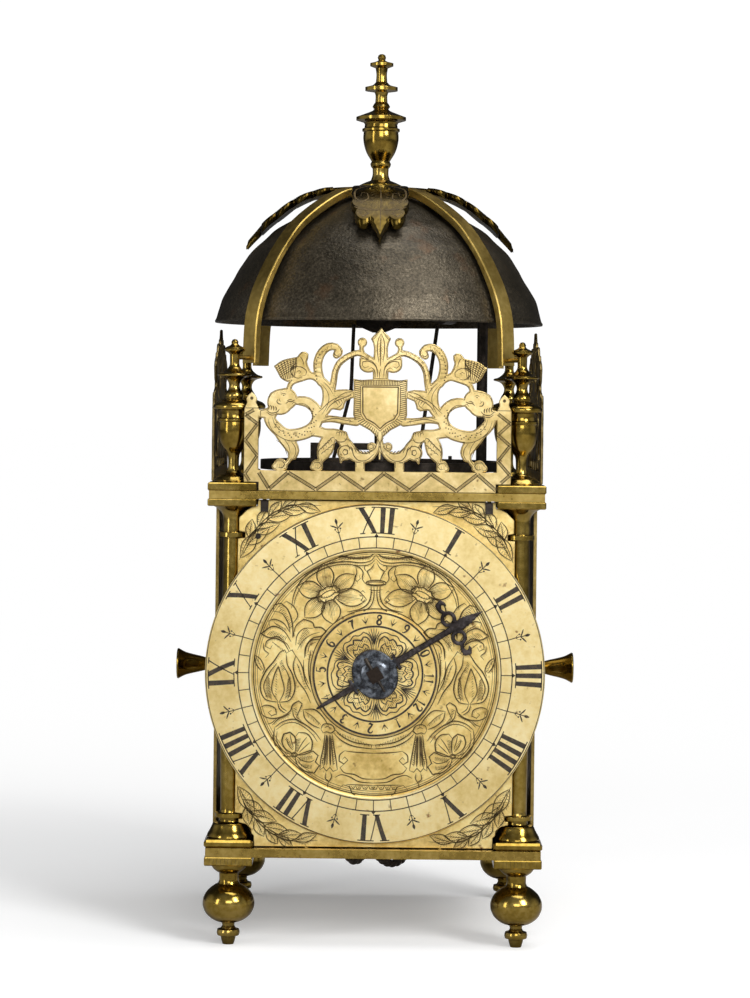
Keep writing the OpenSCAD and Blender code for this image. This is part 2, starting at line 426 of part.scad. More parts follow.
module crown_wheel() color([0.71, 0.58, 0.32]) translate([cx, -24, cz]) rotate([-90, 0, 0]) difference() {
  cylinder(r = 20, h = 12.5);
  difference() { translate([0, 0, 1.5]) cylinder(r = 18.6, h = 12); cylinder(r = 4.6, h = 4); }
  translate([0, 0, -1]) linear_extrude(3) difference() { circle(r = 16.6); circle(r = 6); for (k = [0:1]) rotate(45+90*k) square([40, 3.4], center = true); }
  translate([0, 0, -1]) cylinder(r = 1.5, h = 8);
  for (i = [0:crown_n-1]) rotate([0, 0, 360*i/crown_n]) translate([17, 0, 0]) rotate([90, 0, 90]) linear_extrude(4) polygon([[-2.9,12.8],[2.8,12.8],[2.3,7.6],[0.4,7.6]]);
}
module crown_arbor() color([0.33, 0.32, 0.32]) { arbor(cx, cz, -43.2, -14.3, 1.5, -46.4, -12.1, 0.8); yex(cx, cz, -40.5, -33.5) toothed(6, 3.35, 1.6, 0.6, 1.0, 270-asin(cx/27)+30); }
module balance_wheel() color([0.26, 0.22, 0.20]) {
  difference() { zcyl(cx, vy, 213.6, 218, bal_r, $fn = 128); zcyl(cx, vy, 213, 219, bal_r-3, $fn = 128); }
  difference() { union() { box(cx-2.6, cx+2.6, vy-bal_r+2, vy+bal_r-2, 214.6, 216.8); zcyl(cx, vy, 213.6, 218, 5); } zcyl(cx, vy, 213, 219, 1.3); }
  translate([cx, vy, 0]) rotate([0, 0, 53]) zcyl(bal_r-1.5, 0, 218, 219.6, 0.9);
}
module verge() color([0.36, 0.35, 0.35]) {
  zcyl(cx, vy, 123.5, 222.4, 1.3);
  zcyl(cx, vy, 120.3, 123.5, 0.8);
  zcyl(cx, vy, 222.4, 226.4, 0.8);
  for (s = [-1, 1]) translate([cx, vy, cz + s*19.2 - 1.3]) rotate([0, 0, -90 + s*48]) translate([0, -0.4, 0]) cube([3, 0.8, 2.6]);
}

// ---------- hour work ----------
module hour_wheel() color([0.70, 0.58, 0.32]) difference() {
  union() {
    yex(0, dial_z, -56.5, -54.5) crossed(72, 39.4, 37.1, 0.8, 1.7, 270, 3.4, 9, 2);
    yex(0, dial_z, -54.5, -47.4) circle(r = 6);
    yex(0, dial_z, -52, -50.4) toothed(12, 12, 8.6, 0.8, 4, 0);
    ycyl(0, dial_z, -73.6, -56.5, 4.4);
    yex(0, dial_z, -79, -73.6) rotate(hand_a) square(6, center = true);
  }
  ycyl(0, dial_z, -66.6, -47, 2.5+fit);
  translate([0, -78, dial_z]) rotate([0, -hand_a-90, 0]) rotate([0, 90, 0]) translate([0, 0, -5]) cylinder(r = 0.7, h = 10);
}

// ---------- strike train ----------
module strike_great_wheel() color([0.70, 0.57, 0.30]) {
  yex(0, kz, 22, 25) crossed(56, 33.2, 30.8, 1, 2, 90, 5.6, 8, 2);
  for (i = [0:pin_n-1]) rotate([0, 0, 0]) ycyl(27*cos(22.5+360*i/pin_n), kz+27*sin(22.5+360*i/pin_n), 15.5, 22, 1.4);
}
module strike_arbor() color([0.33, 0.32, 0.32]) {
  arbor(0, kz, 1.8, 43.2, 2, -1.4, 46.6, 1.2);
  ycyl(0, kz, 43.2, 47, 1.8);
  ycyl(0, kz, 35.6, 36.9, 3.4);
  yex(0, kz, 47, 49.6) toothed(8, 4.3, 2.4, 0.6, 1.1, 68+180/8);
}
module strike_pulley() color([0.66, 0.54, 0.30]) {
  pulley(0, kz, 26.2);
  yex(0, kz, 25.3, 26.2) difference() { circle(r = 12.6); circle(r = 11); polygon([[0,0],[20,6],[20,-6]]); }
}
module hoop_wheel() color([0.70, 0.57, 0.30]) {
  yex(0, hz, 36, 38) crossed(54, 25.1, 23.2, 0.7, 1.5, 90, 2.8, 6, 2);
  yex(0, hz, 33, 36) difference() { circle(r = 21.4); circle(r = 20.4); polygon([[0,0],[-22,26],[-14,30]]); }
}
module hoop_arbor() color([0.33, 0.32, 0.32]) { arbor(0, hz, 1.8, 43.2, 2, -1.4, 46.4, 0.9); yex(0, hz, 20.5, 26.5) toothed(7, 4.85, 2.6, 0.8, 1.4, 270+180/7); }
module fly() color([0.45, 0.40, 0.30]) difference() {
  union() { box(-22.5, 22.5, 12, 32, fz-0.4, fz+0.4); ycyl(0, fz, 12, 32, 2.6); }
  ycyl(0, fz, 10, 34, 1.5);
}
module fly_arbor() color([0.33, 0.32, 0.32]) { arbor(0, fz, 1.8, 43.2, 1.5, -1.4, 46.4, 0.8); yex(0, fz, 34.5, 39.5) toothed(6, 3.35, 1.6, 0.6, 1.0, 270+30); }
module count_wheel() color([0.70, 0.58, 0.32]) difference() {
  union() {
    yex(nx, nz, 47.3, 48.9) crossed(78, 35.9, 34, 0.7, 1.5, 248, 5, 8, 2.5);
    yex(nx, nz, 48.9, 50.4) difference() {
      circle(r = 31, $fn = 96); circle(r = 27.5, $fn = 96);
      for (h = [1:12]) rotate(-h*(h+1)/2*360/78) translate([29, -1]) square([4, 2]);
    }
    ycyl(nx, nz, 48.9, 50.4, 5);
  }
  ycyl(nx, nz, 46, 52, 2.5+fit);
}
module strike_hammer() color([0.20, 0.18, 0.17]) {
  zcyl(hx, hy, 45.2, 292, 2.6);
  zcyl(hx, hy, 41, 45.2, 1.5);
  translate([0, 0, 121.9]) linear_extrude(2.9) bar2([hx, hy], [8, 16.5], 4);
  zcyl(8, 16.5, 117.1, 121.9, 1.5);
  translate([0, 0, 286.4]) linear_extrude(4) bar2([hx, hy], [34, 53.6], 4);
  translate([33.2, 54.2, 288.6]) rotate([0, 90, 58]) translate([0, 0, -5]) cylinder(r = 4.6, h = 9.4);
}
module locking_detent() color([0.30, 0.29, 0.28]) {
  arbor(dx, dz, 1.8, 43.2, 1.6, -1.4, 43.3, 0.9);
  ycyl(dx, dz, 43.2, 50.6, 1.4);
  yex(0, 0, 33.4, 35.6) bar2([dx, dz], [-13.9, 143.1], 2.4);
  yex(0, 0, 49, 50.6) bar2([dx, dz], [-9.8, 146.4], 2.4);
}
module lifting_piece() color([0.30, 0.29, 0.28]) {
  ycyl(lx, lz, -52.4, -43.2, 1.4);
  ycyl(lx, lz, -43.2, 43.2, 1.6);
  ycyl(lx, lz, 43.2, 46.4, 0.9);
  yex(0, 0, -52, -50.4) bar2([lx, lz], [-14.5, 130.5], 3);
  yex(0, 0, 33.4, 35.6) bar2([lx, lz], [-20.5, 145.6], 2.4);
}

// ---------- alarm ----------
module alarm_detent() color([0.30, 0.29, 0.28]) {
  ycyl(ex, ez, -64, 69.7, 1.8);
  ycyl(ex, ez, 69.7, 71.5, 1.2);
  // arms with a square end on a round hub
  yex(ex, ez, -62, -60.4) { circle(r = 3.4); rotate(atan2(132.8-ez, 7.8-ex)) translate([0, -1.5]) square([norm([7.8-ex, 132.8-ez])+1.2, 3]); }
  yex(ex, ez, 65, 66.6) { circle(r = 3.4); rotate(atan2(164-ez, 5-ex)) translate([0, -1.5]) square([norm([5-ex, 164-ez])+1.2, 3]); }
}
module alarm_wheel() color([0.68, 0.56, 0.31]) translate([0, 51.2, az]) rotate([-90, 0, 0]) difference() {
  union() {
    rotate_extrude() polygon([[0,0],[10.5,0],[10.5,0.7],[7.6,1.7],[7.6,2.3],[10.5,3.3],[10.5,4],[0,4]]);
    translate([0, 0, 4]) cylinder(r = 13, h = 4.8);
  }
  difference() { translate([0, 0, 5.2]) cylinder(r = 11.8, h = 5); cylinder(r = 4, h = 6.6); }
  translate([0, 0, -1]) cylinder(r = 2+fit, h = 12);
  for (i = [0:12]) rotate([0, 0, 360*i/13]) translate([10.6, 0, 0]) rotate([90, 0, 90]) linear_extrude(4) polygon([[-2.7,9.4],[2.7,9.4],[2.2,6.4],[0.6,6.4]]);
}
module alarm_hammer() color([0.18, 0.16, 0.15]) {
  zcyl(0, ay, 150.4, 284, 1.5);
  zcyl(0, ay, 147.2, 150.4, 0.8);
  for (s = [-1, 1]) translate([0, ay, az + s*12.3 - 1.2]) rotate([0, 0, -90 + s*45]) translate([0, -0.4, 0]) cube([2.2, 0.8, 2.4]);
  yex(0, 0, ay-2.2, ay+2.2) polygon([[-11,283.2],[-11,286.6],[11,286.6],[11,283.2],[3,279.8],[-3,279.8]]);
}

// ---------- doors ----------
module door(s) difference() {
  union() {
    box(71.7, 73.2, -52.4, 52.4, 45, 200.9);
    zcyl(72.45, 49.5, 42.2, 203.6, 1);
  }
  translate([71, -38, 124]) rotate([0, 90, 0]) cylinder(r = 1.5+fit, h = 4);
}
module right_door() color([0.55, 0.46, 0.28]) door();
module left_door() color([0.55, 0.46, 0.28]) mirror([1, 0, 0]) door();
module knob() {
  translate([0, -38, 124]) rotate([0, 90, 0]) rotate_extrude() polygon([[0,71.2],[1.5,71.2],[1.5,73.2],[4.6,73.2],[4.6,74.2],[3,75],[3,76.4],[4.3,78.4],[5.6,82],[6.6,85.6],[7,88],[6.6,89.4],[5,90.4],[2.6,91],[0,91.2]]);
}
module right_knob() color([0.70, 0.58, 0.34]) knob();
module left_knob() color([0.70, 0.58, 0.34]) mirror([1, 0, 0]) knob();

bottom_plate();
top_plate();
pillars();
ball_feet();
corner_finials();
bell_strap();
bell_crests();
bell();
bell_nut();
centre_finial();
front_fret();
side_frets();
fret_screws();
dial_plate();
chapter_ring();
dial_latches();
back_plate();
front_bar();
centre_bar();
rear_bar();
bar_wedges();
balance_cock();
verge_potence();
crown_potence();
hammer_spring();
check_wires();
going_rope();
strike_rope();
great_wheel();
great_arbor();
going_pulley();
second_wheel();
second_arbor();
crown_wheel();
crown_arbor();
balance_wheel();
verge();
hour_wheel();
clock_hand();
hand_collet();
hand_pin();
alarm_disc();
strike_great_wheel();
strike_arbor();
strike_pulley();
hoop_wheel();
hoop_arbor();
fly();
fly_arbor();
count_wheel();
strike_hammer();
locking_detent();
lifting_piece();
alarm_detent();
alarm_wheel();
alarm_hammer();
left_door();
right_door();
left_knob();
right_knob();
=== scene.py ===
import bpy, math
import numpy as np
from mathutils import Vector, Matrix
from mathutils.geometry import delaunay_2d_cdt


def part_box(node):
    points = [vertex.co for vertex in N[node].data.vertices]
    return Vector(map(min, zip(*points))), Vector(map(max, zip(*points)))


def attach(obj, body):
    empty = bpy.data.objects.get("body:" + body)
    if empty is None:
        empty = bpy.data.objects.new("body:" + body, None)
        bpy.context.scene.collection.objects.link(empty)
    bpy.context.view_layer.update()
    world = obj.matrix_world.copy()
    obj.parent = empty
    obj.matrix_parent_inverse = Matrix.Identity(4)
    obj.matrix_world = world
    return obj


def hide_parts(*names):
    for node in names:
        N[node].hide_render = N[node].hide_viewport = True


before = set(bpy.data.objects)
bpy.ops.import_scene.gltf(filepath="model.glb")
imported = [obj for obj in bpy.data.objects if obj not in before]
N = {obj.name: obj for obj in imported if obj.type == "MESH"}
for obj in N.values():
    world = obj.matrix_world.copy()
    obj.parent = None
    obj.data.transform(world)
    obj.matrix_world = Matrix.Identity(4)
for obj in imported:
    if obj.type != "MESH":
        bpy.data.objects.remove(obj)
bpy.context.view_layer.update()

DZ = 123.2            # dial centre height, mm
HAND_A = 31.1         # hand angle, degrees from 3 o'clock


# ------------------------------------------------------------------ materials
def nodes_of(name):
    m = bpy.data.materials.new(name)
    m.use_nodes = True
    nt = m.node_tree
    nt.nodes.clear()
    out = nt.nodes.new("ShaderNodeOutputMaterial")
    b = nt.nodes.new("ShaderNodeBsdfPrincipled")
    nt.links.new(b.outputs[0], out.inputs[0])
    return m, nt, b


def noise(nt, coord, scale, detail=4, rough=0.55, vec_scale=None, distort=0.0):
    n = nt.nodes.new("ShaderNodeTexNoise")
    n.inputs["Scale"].default_value = scale
    n.inputs["Detail"].default_value = detail
    n.inputs["Roughness"].default_value = rough
    n.inputs["Distortion"].default_value = distort
    if vec_scale:
        mp = nt.nodes.new("ShaderNodeMapping")
        mp.inputs["Scale"].default_value = vec_scale
        nt.links.new(coord, mp.inputs["Vector"])
        nt.links.new(mp.outputs[0], n.inputs["Vector"])
    else:
        nt.links.new(coord, n.inputs["Vector"])
    return n.outputs["Fac"]


def ramp(nt, fac, stops):
    r = nt.nodes.new("ShaderNodeValToRGB")
    e = r.color_ramp.elements
    e[0].position, e[0].color = stops[0][0], (*stops[0][1], 1) if len(stops[0][1]) == 3 else stops[0][1]
    e[1].position, e[1].color = stops[-1][0], (*stops[-1][1], 1)
    for p, c in stops[1:-1]:
        x = e.new(p)
        x.color = (*c, 1)
    nt.links.new(fac, r.inputs[0])
    return r.outputs[0]


def math_node(nt, op, a, b, c=None):
    n = nt.nodes.new("ShaderNodeMath")
    n.operation = op
    for i, v in enumerate((a, b, c)):
        if v is None:
            continue
        if isinstance(v, (int, float)):
            n.inputs[i].default_value = v
        else:
            nt.links.new(v, n.inputs[i])
    return n.outputs[0]


def mix_col(nt, fac, a, b, mode="MIX"):
    n = nt.nodes.new("ShaderNodeMix")
    n.data_type = "RGBA"
    n.blend_type = mode
    for sock, v in ((n.inputs[0], fac), (n.inputs[6], a), (n.inputs[7], b)):
        if isinstance(v, (int, float)):
            sock.default_value = v
        elif isinstance(v, tuple):
            sock.default_value = (*v, 1)
        else:
            nt.links.new(v, sock)
    return n.outputs[2]


def metal(name, cols, rough=(0.2, 0.34), patch=38.0, fine=420.0, bump=0.02, bump_scale=900.0, scratch=None,
          grime_and_shade=0.6, grime_shade_col=(0.035, 0.022, 0.008), ao=0.006, bevel=0.00025, metallic=1.0, specks=0.0, speck_col=(0.03, 0.02, 0.01)):
    """Old metal: three-tone patina in large patches and fine mottling, dirt and painted shade in the corners, soft
    edges.
    """
    m, nt, b = nodes_of(name)
    tc = nt.nodes.new("ShaderNodeTexCoord").outputs["Object"]
    p = noise(nt, tc, patch, 5, 0.6)
    f = noise(nt, tc, fine, 3, 0.6)
    mixf = math_node(nt, "MULTIPLY_ADD", f, 0.35, math_node(nt, "MULTIPLY", p, 0.65))
    col = ramp(nt, mixf, [(0.36, cols[0]), (0.5, cols[1]), (0.64, cols[2])])
    if specks:
        s = noise(nt, tc, 260.0, 2, 0.5)
        sp = math_node(nt, "GREATER_THAN", s, 0.86 - 0.14 * specks)
        s2 = ramp(nt, s, [(0.70 - 0.08 * specks, (0, 0, 0)), (0.78, (1, 1, 1))])
        col = mix_col(nt, s2, col, speck_col)
    # dirt and painted shade: an ambient-occlusion mask darkens corners, crevices and gaps between parts, broken up by
    # the patch noise
    if grime_and_shade:
        a = nt.nodes.new("ShaderNodeAmbientOcclusion")
        a.samples = 5
        a.inputs["Distance"].default_value = ao
        g = ramp(nt, a.outputs["AO"], [(0.25, (1, 1, 1)), (0.85, (0, 0, 0))])
        gn = math_node(nt, "MULTIPLY", g, math_node(nt, "MULTIPLY_ADD", p, 0.9, grime_and_shade - 0.45))
        gn2 = nt.nodes.new("ShaderNodeClamp")
        nt.links.new(gn, gn2.inputs[0])
        col = mix_col(nt, gn2.outputs[0], col, grime_shade_col)
    nt.links.new(col, b.inputs["Base Color"])
    b.inputs["Metallic"].default_value = metallic
    r = math_node(nt, "MULTIPLY_ADD", mixf, (rough[1] - rough[0]) * 2.2, rough[0] - (rough[1] - rough[0]) * 0.6)
    nt.links.new(r, b.inputs["Roughness"])
    bp = nt.nodes.new("ShaderNodeBump")
    bp.inputs["Strength"].default_value = 1.0
    bp.inputs["Distance"].default_value = bump * 0.001
    h = noise(nt, tc, bump_scale, 3, 0.6)
    if scratch:
        sc = noise(nt, tc, 600.0, 2, 0.5, scratch)
        h = math_node(nt, "ADD", h, math_node(nt, "MULTIPLY", sc, 1.2))
    nt.links.new(h, bp.inputs["Height"])
    if bevel:
        bv = nt.nodes.new("ShaderNodeBevel")
        bv.samples = 4
        bv.inputs["Radius"].default_value = bevel
        nt.links.new(bv.outputs[0], bp.inputs["Normal"])
    nt.links.new(bp.outputs[0], b.inputs["Normal"])
    return m


M = {}
M["cast"] = metal("brass_cast", [(0.165, 0.102, 0.016), (0.305, 0.204, 0.039), (0.46, 0.325, 0.09)], rough=(0.11, 0.22), grime_and_shade=0.75, ao=0.008, bump=0.02, bump_scale=500.0)
M["plate"] = metal("brass_plate", [(0.24, 0.158, 0.032), (0.375, 0.256, 0.062), (0.51, 0.365, 0.11)], rough=(0.22, 0.34), grime_and_shade=0.6, bump=0.025, scratch=(0.05, 1, 1))
M["fret"] = metal("brass_fret", [(0.5, 0.36, 0.12), (0.69, 0.52, 0.22), (0.83, 0.67, 0.34)], rough=(0.26, 0.4), grime_and_shade=0.55, ao=0.003, bump=0.03, specks=0.25, speck_col=(0.16, 0.09, 0.03))
# painted shade: the side frets are the same brass as the front fret, coloured darker
M["fretside"] = metal("brass_fret_side_shade", [(0.10, 0.075, 0.03), (0.19, 0.14, 0.055), (0.34, 0.25, 0.10)], rough=(0.3, 0.5), grime_and_shade=0.6, ao=0.004, bump=0.03)
M["dial"] = metal("brass_dial", [(0.64, 0.435, 0.125), (0.89, 0.66, 0.245), (0.99, 0.82, 0.385)], rough=(0.28, 0.42), patch=55.0, grime_and_shade=0.35, ao=0.003, bump=0.02, specks=0.3, speck_col=(0.22, 0.11, 0.04))
M["ring"] = metal("brass_ring", [(0.82, 0.61, 0.23), (0.94, 0.745, 0.345), (0.99, 0.84, 0.47)], rough=(0.28, 0.4), patch=45.0, grime_and_shade=0.25, ao=0.002, bump=0.012, specks=0.18, speck_col=(0.30, 0.15, 0.06))
M["strap"] = metal("brass_strap", [(0.33, 0.22, 0.05), (0.47, 0.325, 0.085), (0.6, 0.435, 0.135)], rough=(0.3, 0.44), grime_and_shade=0.6, bump=0.03)
M["crest"] = metal("brass_crest", [(0.017, 0.0105, 0.002), (0.04, 0.026, 0.005), (0.1, 0.068, 0.015)], rough=(0.15, 0.27), grime_and_shade=0.9, ao=0.006, bump=0.03)
M["wheel"] = metal("brass_wheel", [(0.44, 0.30, 0.09), (0.56, 0.40, 0.13), (0.66, 0.50, 0.20)], rough=(0.26, 0.4), grime_and_shade=0.7, bump=0.02)
M["pipe"] = metal("brass_wheel_pipe", [(0.44, 0.30, 0.09), (0.56, 0.40, 0.13), (0.66, 0.50, 0.20)], rough=(0.26, 0.4), grime_and_shade=0.7, bump=0.02)
nt = M["pipe"].node_tree
b = [n_ for n_ in nt.nodes if n_.type == "BSDF_PRINCIPLED"][0]
sp = nt.nodes.new("ShaderNodeSeparateXYZ")
nt.links.new([n_ for n_ in nt.nodes if n_.type == "TEX_COORD"][0].outputs["Object"], sp.inputs[0])
oil = mix_col(nt, noise(nt, [n_ for n_ in nt.nodes if n_.type == "TEX_COORD"][0].outputs["Object"], 900.0, 3, 0.6), (0.012, 0.009, 0.008), (0.06, 0.045, 0.035))
nt.links.new(mix_col(nt, math_node(nt, "LESS_THAN", sp.outputs[1], -0.0732), b.inputs["Base Color"].links[0].from_socket, oil), b.inputs["Base Color"])
M["door"] = metal("brass_door", [(0.22, 0.15, 0.045), (0.33, 0.235, 0.075), (0.45, 0.33, 0.12)], rough=(0.26, 0.42), grime_and_shade=0.6, bump=0.03)
M["iron"] = metal("black_iron", [(0.018, 0.015, 0.012), (0.035, 0.029, 0.024), (0.075, 0.060, 0.046)], rough=(0.36, 0.55), patch=70.0, fine=500.0, bump=0.12, bump_scale=320.0, grime_and_shade=0.5, grime_shade_col=(0.02, 0.012, 0.006), metallic=0.85)
M["steel"] = metal("old_steel", [(0.10, 0.09, 0.08), (0.18, 0.165, 0.15), (0.30, 0.28, 0.26)], rough=(0.26, 0.42), bump=0.03, grime_and_shade=0.6, scratch=(1, 0.05, 1))
M["blued"] = metal("blued_steel", [(0.018, 0.014, 0.013), (0.046, 0.039, 0.038), (0.12, 0.105, 0.105)], rough=(0.24, 0.42), patch=130.0, fine=700.0, bump=0.05, bump_scale=500.0, grime_and_shade=0.35, grime_shade_col=(0.02, 0.012, 0.01), metallic=0.95, specks=0.5, speck_col=(0.035, 0.022, 0.016))

nt = M["blued"].node_tree
b = [n_ for n_ in nt.nodes if n_.type == "BSDF_PRINCIPLED"][0]
tc = [n_ for n_ in nt.nodes if n_.type == "TEX_COORD"][0].outputs["Object"]
sp = nt.nodes.new("ShaderNodeSeparateXYZ")
nt.links.new(tc, sp.inputs[0])
zz = math_node(nt, "ADD", sp.outputs[2], -DZ*0.001)
rb = math_node(nt, "SQRT", math_node(nt, "ADD", math_node(nt, "MULTIPLY", sp.outputs[0], sp.outputs[0]), math_node(nt, "MULTIPLY", zz, zz)), 0.0)
bm = ramp(nt, math_node(nt, "MULTIPLY", rb, 50.0), [(0.50, (1, 1, 1)), (0.58, (0, 0, 0))])
grey = ramp(nt, noise(nt, tc, 420.0, 5, 0.7), [(0.36, (0.018, 0.017, 0.018)), (0.48, (0.060, 0.066, 0.076)), (0.64, (0.20, 0.22, 0.25))])
nt.links.new(mix_col(nt, bm, b.inputs["Base Color"].links[0].from_socket, grey), b.inputs["Base Color"])


def bell_material():
    m, nt, b = nodes_of("bell_bronze")
    tc = nt.nodes.new("ShaderNodeTexCoord").outputs["Object"]
    p = noise(nt, tc, 26.0, 6, 0.62)
    f = noise(nt, tc, 900.0, 3, 0.65)
    v = noise(nt, tc, 36.0, 3, 0.5, (1, 1, 0.15))
    t = math_node(nt, "MULTIPLY_ADD", f, 0.45, math_node(nt, "MULTIPLY_ADD", p, 0.38, math_node(nt, "MULTIPLY", v, 0.17)))
    col = ramp(nt, t, [(0.34, (0.014, 0.011, 0.006)), (0.46, (0.036, 0.029, 0.018)), (0.56, (0.078, 0.063, 0.041)), (0.68, (0.17, 0.143, 0.100))])
    rust = ramp(nt, noise(nt, tc, 60.0, 4, 0.6), [(0.58, (0, 0, 0)), (0.72, (1, 1, 1))])
    col = mix_col(nt, math_node(nt, "MULTIPLY", rust, 0.5), col, (0.10, 0.048, 0.020))
    nt.links.new(col, b.inputs["Base Color"])
    b.inputs["Metallic"].default_value = 0.72
    nt.links.new(math_node(nt, "MULTIPLY_ADD", f, 0.25, 0.22), b.inputs["Roughness"])
    bp = nt.nodes.new("ShaderNodeBump")
    bp.inputs["Strength"].default_value = 1.0
    bp.inputs["Distance"].default_value = 0.00032
    h = math_node(nt, "ADD", noise(nt, tc, 750.0, 3, 0.7), math_node(nt, "MULTIPLY", noise(nt, tc, 160.0, 3, 0.5), 0.9))
    nt.links.new(h, bp.inputs["Height"])
    nt.links.new(bp.outputs[0], b.inputs["Normal"])
    return m


M["bell"] = bell_material()


def wax_material():
    """Black wax and dirt in the engraved lines."""
    m, nt, b = nodes_of("engraving_wax")
    tc = nt.nodes.new("ShaderNodeTexCoord").outputs["Object"]
    f = noise(nt, tc, 500.0, 3, 0.6)
    nt.links.new(ramp(nt, f, [(0.35, (0.016, 0.011, 0.007)), (0.55, (0.035, 0.024, 0.013)), (0.75, (0.10, 0.065, 0.03))]), b.inputs["Base Color"])
    nt.links.new(math_node(nt, "MULTIPLY_ADD", f, 0.3, 0.42), b.inputs["Roughness"])
    b.inputs["Metallic"].default_value = 0.15
    return m


def groove_material(name, a, c):
    """Tarnished metal in the bottom of a graver's cut."""
    m, nt, b = nodes_of(name)
    tc = nt.nodes.new("ShaderNodeTexCoord").outputs["Object"]
    f = noise(nt, tc, 350.0, 3, 0.6)
    nt.links.new(ramp(nt, f, [(0.3, a), (0.7, c)]), b.inputs["Base Color"])
    nt.links.new(math_node(nt, "MULTIPLY_ADD", f, 0.3, 0.35), b.inputs["Roughness"])
    b.inputs["Metallic"].default_value = 0.6
    return m


M["wax"] = wax_material()
M["cut"] = groove_material("graver_cut", (0.030, 0.019, 0.006), (0.13, 0.085, 0.028))
M["cutfret"] = groove_material("graver_cut_fret", (0.050, 0.033, 0.011), (0.17, 0.115, 0.042))
M["shadecut"] = groove_material("graver_shade", (0.075, 0.05, 0.015), (0.22, 0.15, 0.05))


def rope_material():
    m, nt, b = nodes_of("tarred_rope")
    tc = nt.nodes.new("ShaderNodeTexCoord").outputs["Object"]
    f = noise(nt, tc, 900.0, 4, 0.7)
    p = noise(nt, tc, 70.0, 3, 0.5)
    t = math_node(nt, "MULTIPLY_ADD", f, 0.6, math_node(nt, "MULTIPLY", p, 0.4))
    nt.links.new(ramp(nt, t, [(0.35, (0.018, 0.013, 0.009)), (0.55, (0.055, 0.040, 0.027)), (0.72, (0.13, 0.10, 0.07))]), b.inputs["Base Color"])
    b.inputs["Roughness"].default_value = 0.85
    b.inputs["Sheen Weight"].default_value = 0.25
    bp = nt.nodes.new("ShaderNodeBump")
    bp.inputs["Distance"].default_value = 0.0002
    nt.links.new(noise(nt, tc, 1600.0, 3, 0.6, (1, 1, 0.3)), bp.inputs["Height"])
    nt.links.new(bp.outputs[0], b.inputs["Normal"])
    return m


M["rope"] = rope_material()


# ------------------------------------------------------------------ mesh helpers
class Acc:
    """Collects vertices (mm) and faces of one piece."""
    def __init__(self):
        self.v, self.f, self.n = [], [], 0

    def add(self, verts, faces):
        verts = np.asarray(verts, float).reshape(-1, 3)
        o = self.n
        self.v.append(verts)
        self.f.extend([tuple(int(i) + o for i in f) for f in faces])
        self.n += len(verts)


def make(acc, name, mat, body, node=None, angle=32, smooth=True):
    me = bpy.data.meshes.new(name)
    me.from_pydata((np.vstack(acc.v) * 0.001).tolist(), [], acc.f)
    me.validate()
    me.polygons.foreach_set("use_smooth", [smooth] * len(me.polygons))
    me.update()
    if smooth:
        me.set_sharp_from_angle(angle=math.radians(angle))
    o = bpy.data.objects.new(name, me)
    bpy.context.scene.collection.objects.link(o)
    for k in (mat if isinstance(mat, list) else [mat]):
        me.materials.append(M[k])
    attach(o, body)
    if node:
        for n in (node if isinstance(node, (list, tuple)) else [node]):
            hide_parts(n)
    return o


def spline(pts, step=1.2, corner=46, closed=False):
    """Smooth line through points; turns sharper than corner degrees stay sharp."""
    P = np.asarray(pts, float)
    n = len(P)
    if closed:
        get = lambda i: P[i % n]
        segs = n
    else:
        get = lambda i: P[min(max(i, 0), n - 1)]
        segs = n - 1

    def sharp(i):
        if not closed and (i <= 0 or i >= n - 1):
            return True
        a, b, c = get(i - 1), get(i), get(i + 1)
        u, v = b - a, c - b
        lu, lv = np.linalg.norm(u), np.linalg.norm(v)
        if lu < 1e-9 or lv < 1e-9:
            return True
        cs = np.dot(u, v) / lu / lv
        return math.degrees(math.acos(max(-1, min(1, cs)))) > corner
    out = []
    for i in range(segs):
        p1, p2 = get(i), get(i + 1)
        L = np.linalg.norm(p2 - p1)
        s1, s2 = sharp(i), sharp(i + 1)
        m1 = (p2 - p1) if s1 else (p2 - get(i - 1)) * (L / max(1e-9, np.linalg.norm(p2 - p1) + np.linalg.norm(p1 - get(i - 1))))
        m2 = (p2 - p1) if s2 else (get(i + 2) - p1) * (L / max(1e-9, np.linalg.norm(p2 - p1) + np.linalg.norm(get(i + 2) - p2)))
        k = 1 if (s1 and s2) else max(2, int(math.ceil(L / step)))
        for j in range(k):
            t = j / k
            h = (2*t**3 - 3*t**2 + 1, t**3 - 2*t**2 + t, -2*t**3 + 3*t**2, t**3 - t**2)
            out.append(h[0]*p1 + h[1]*m1 + h[2]*p2 + h[3]*m2)
    if not closed:
        out.append(P[-1])
    return np.array(out)


def lathe(acc, prof, centre=(0, 0), n=72, step=0.8, corner=40, closed=False, axis="z"):
    """Turned shape. prof is [(r, z)...]; an open profile starts and ends on the axis."""
    q = spline(prof, step, corner, closed)
    q[:, 0] = np.maximum(q[:, 0], 0)
    a = np.linspace(0, 2*math.pi, n, endpoint=False)
    rows, idx = [], []
    V, cnt = [], 0
    for r, z in q:
        if r < 1e-6:
            V.append([(0, 0, z)])
            idx.append([cnt]*n)
            cnt += 1
        else:
            V.append([(r*math.cos(t), r*math.sin(t), z) for t in a])
            idx.append(list(range(cnt, cnt+n)))
            cnt += n
    V = np.array([p for row in V for p in row])
    F = []
    m = len(q)
    for i in range(m if closed else m-1):
        A, B = idx[i], idx[(i+1) % m]
        for k in range(n):
            k2 = (k+1) % n
            f = [A[k], A[k2], B[k2], B[k]]
            g = []
            for x in f:
                if x not in g:
                    g.append(x)
            if len(g) > 2:
                F.append(g)
    if axis == "x":
        V = V[:, [2, 0, 1]]
    elif axis == "y":
        V = V[:, [1, 2, 0]]
    V = V + np.array([centre[0], centre[1], 0 if len(centre) < 3 else centre[2]])
    acc.add(V, F)


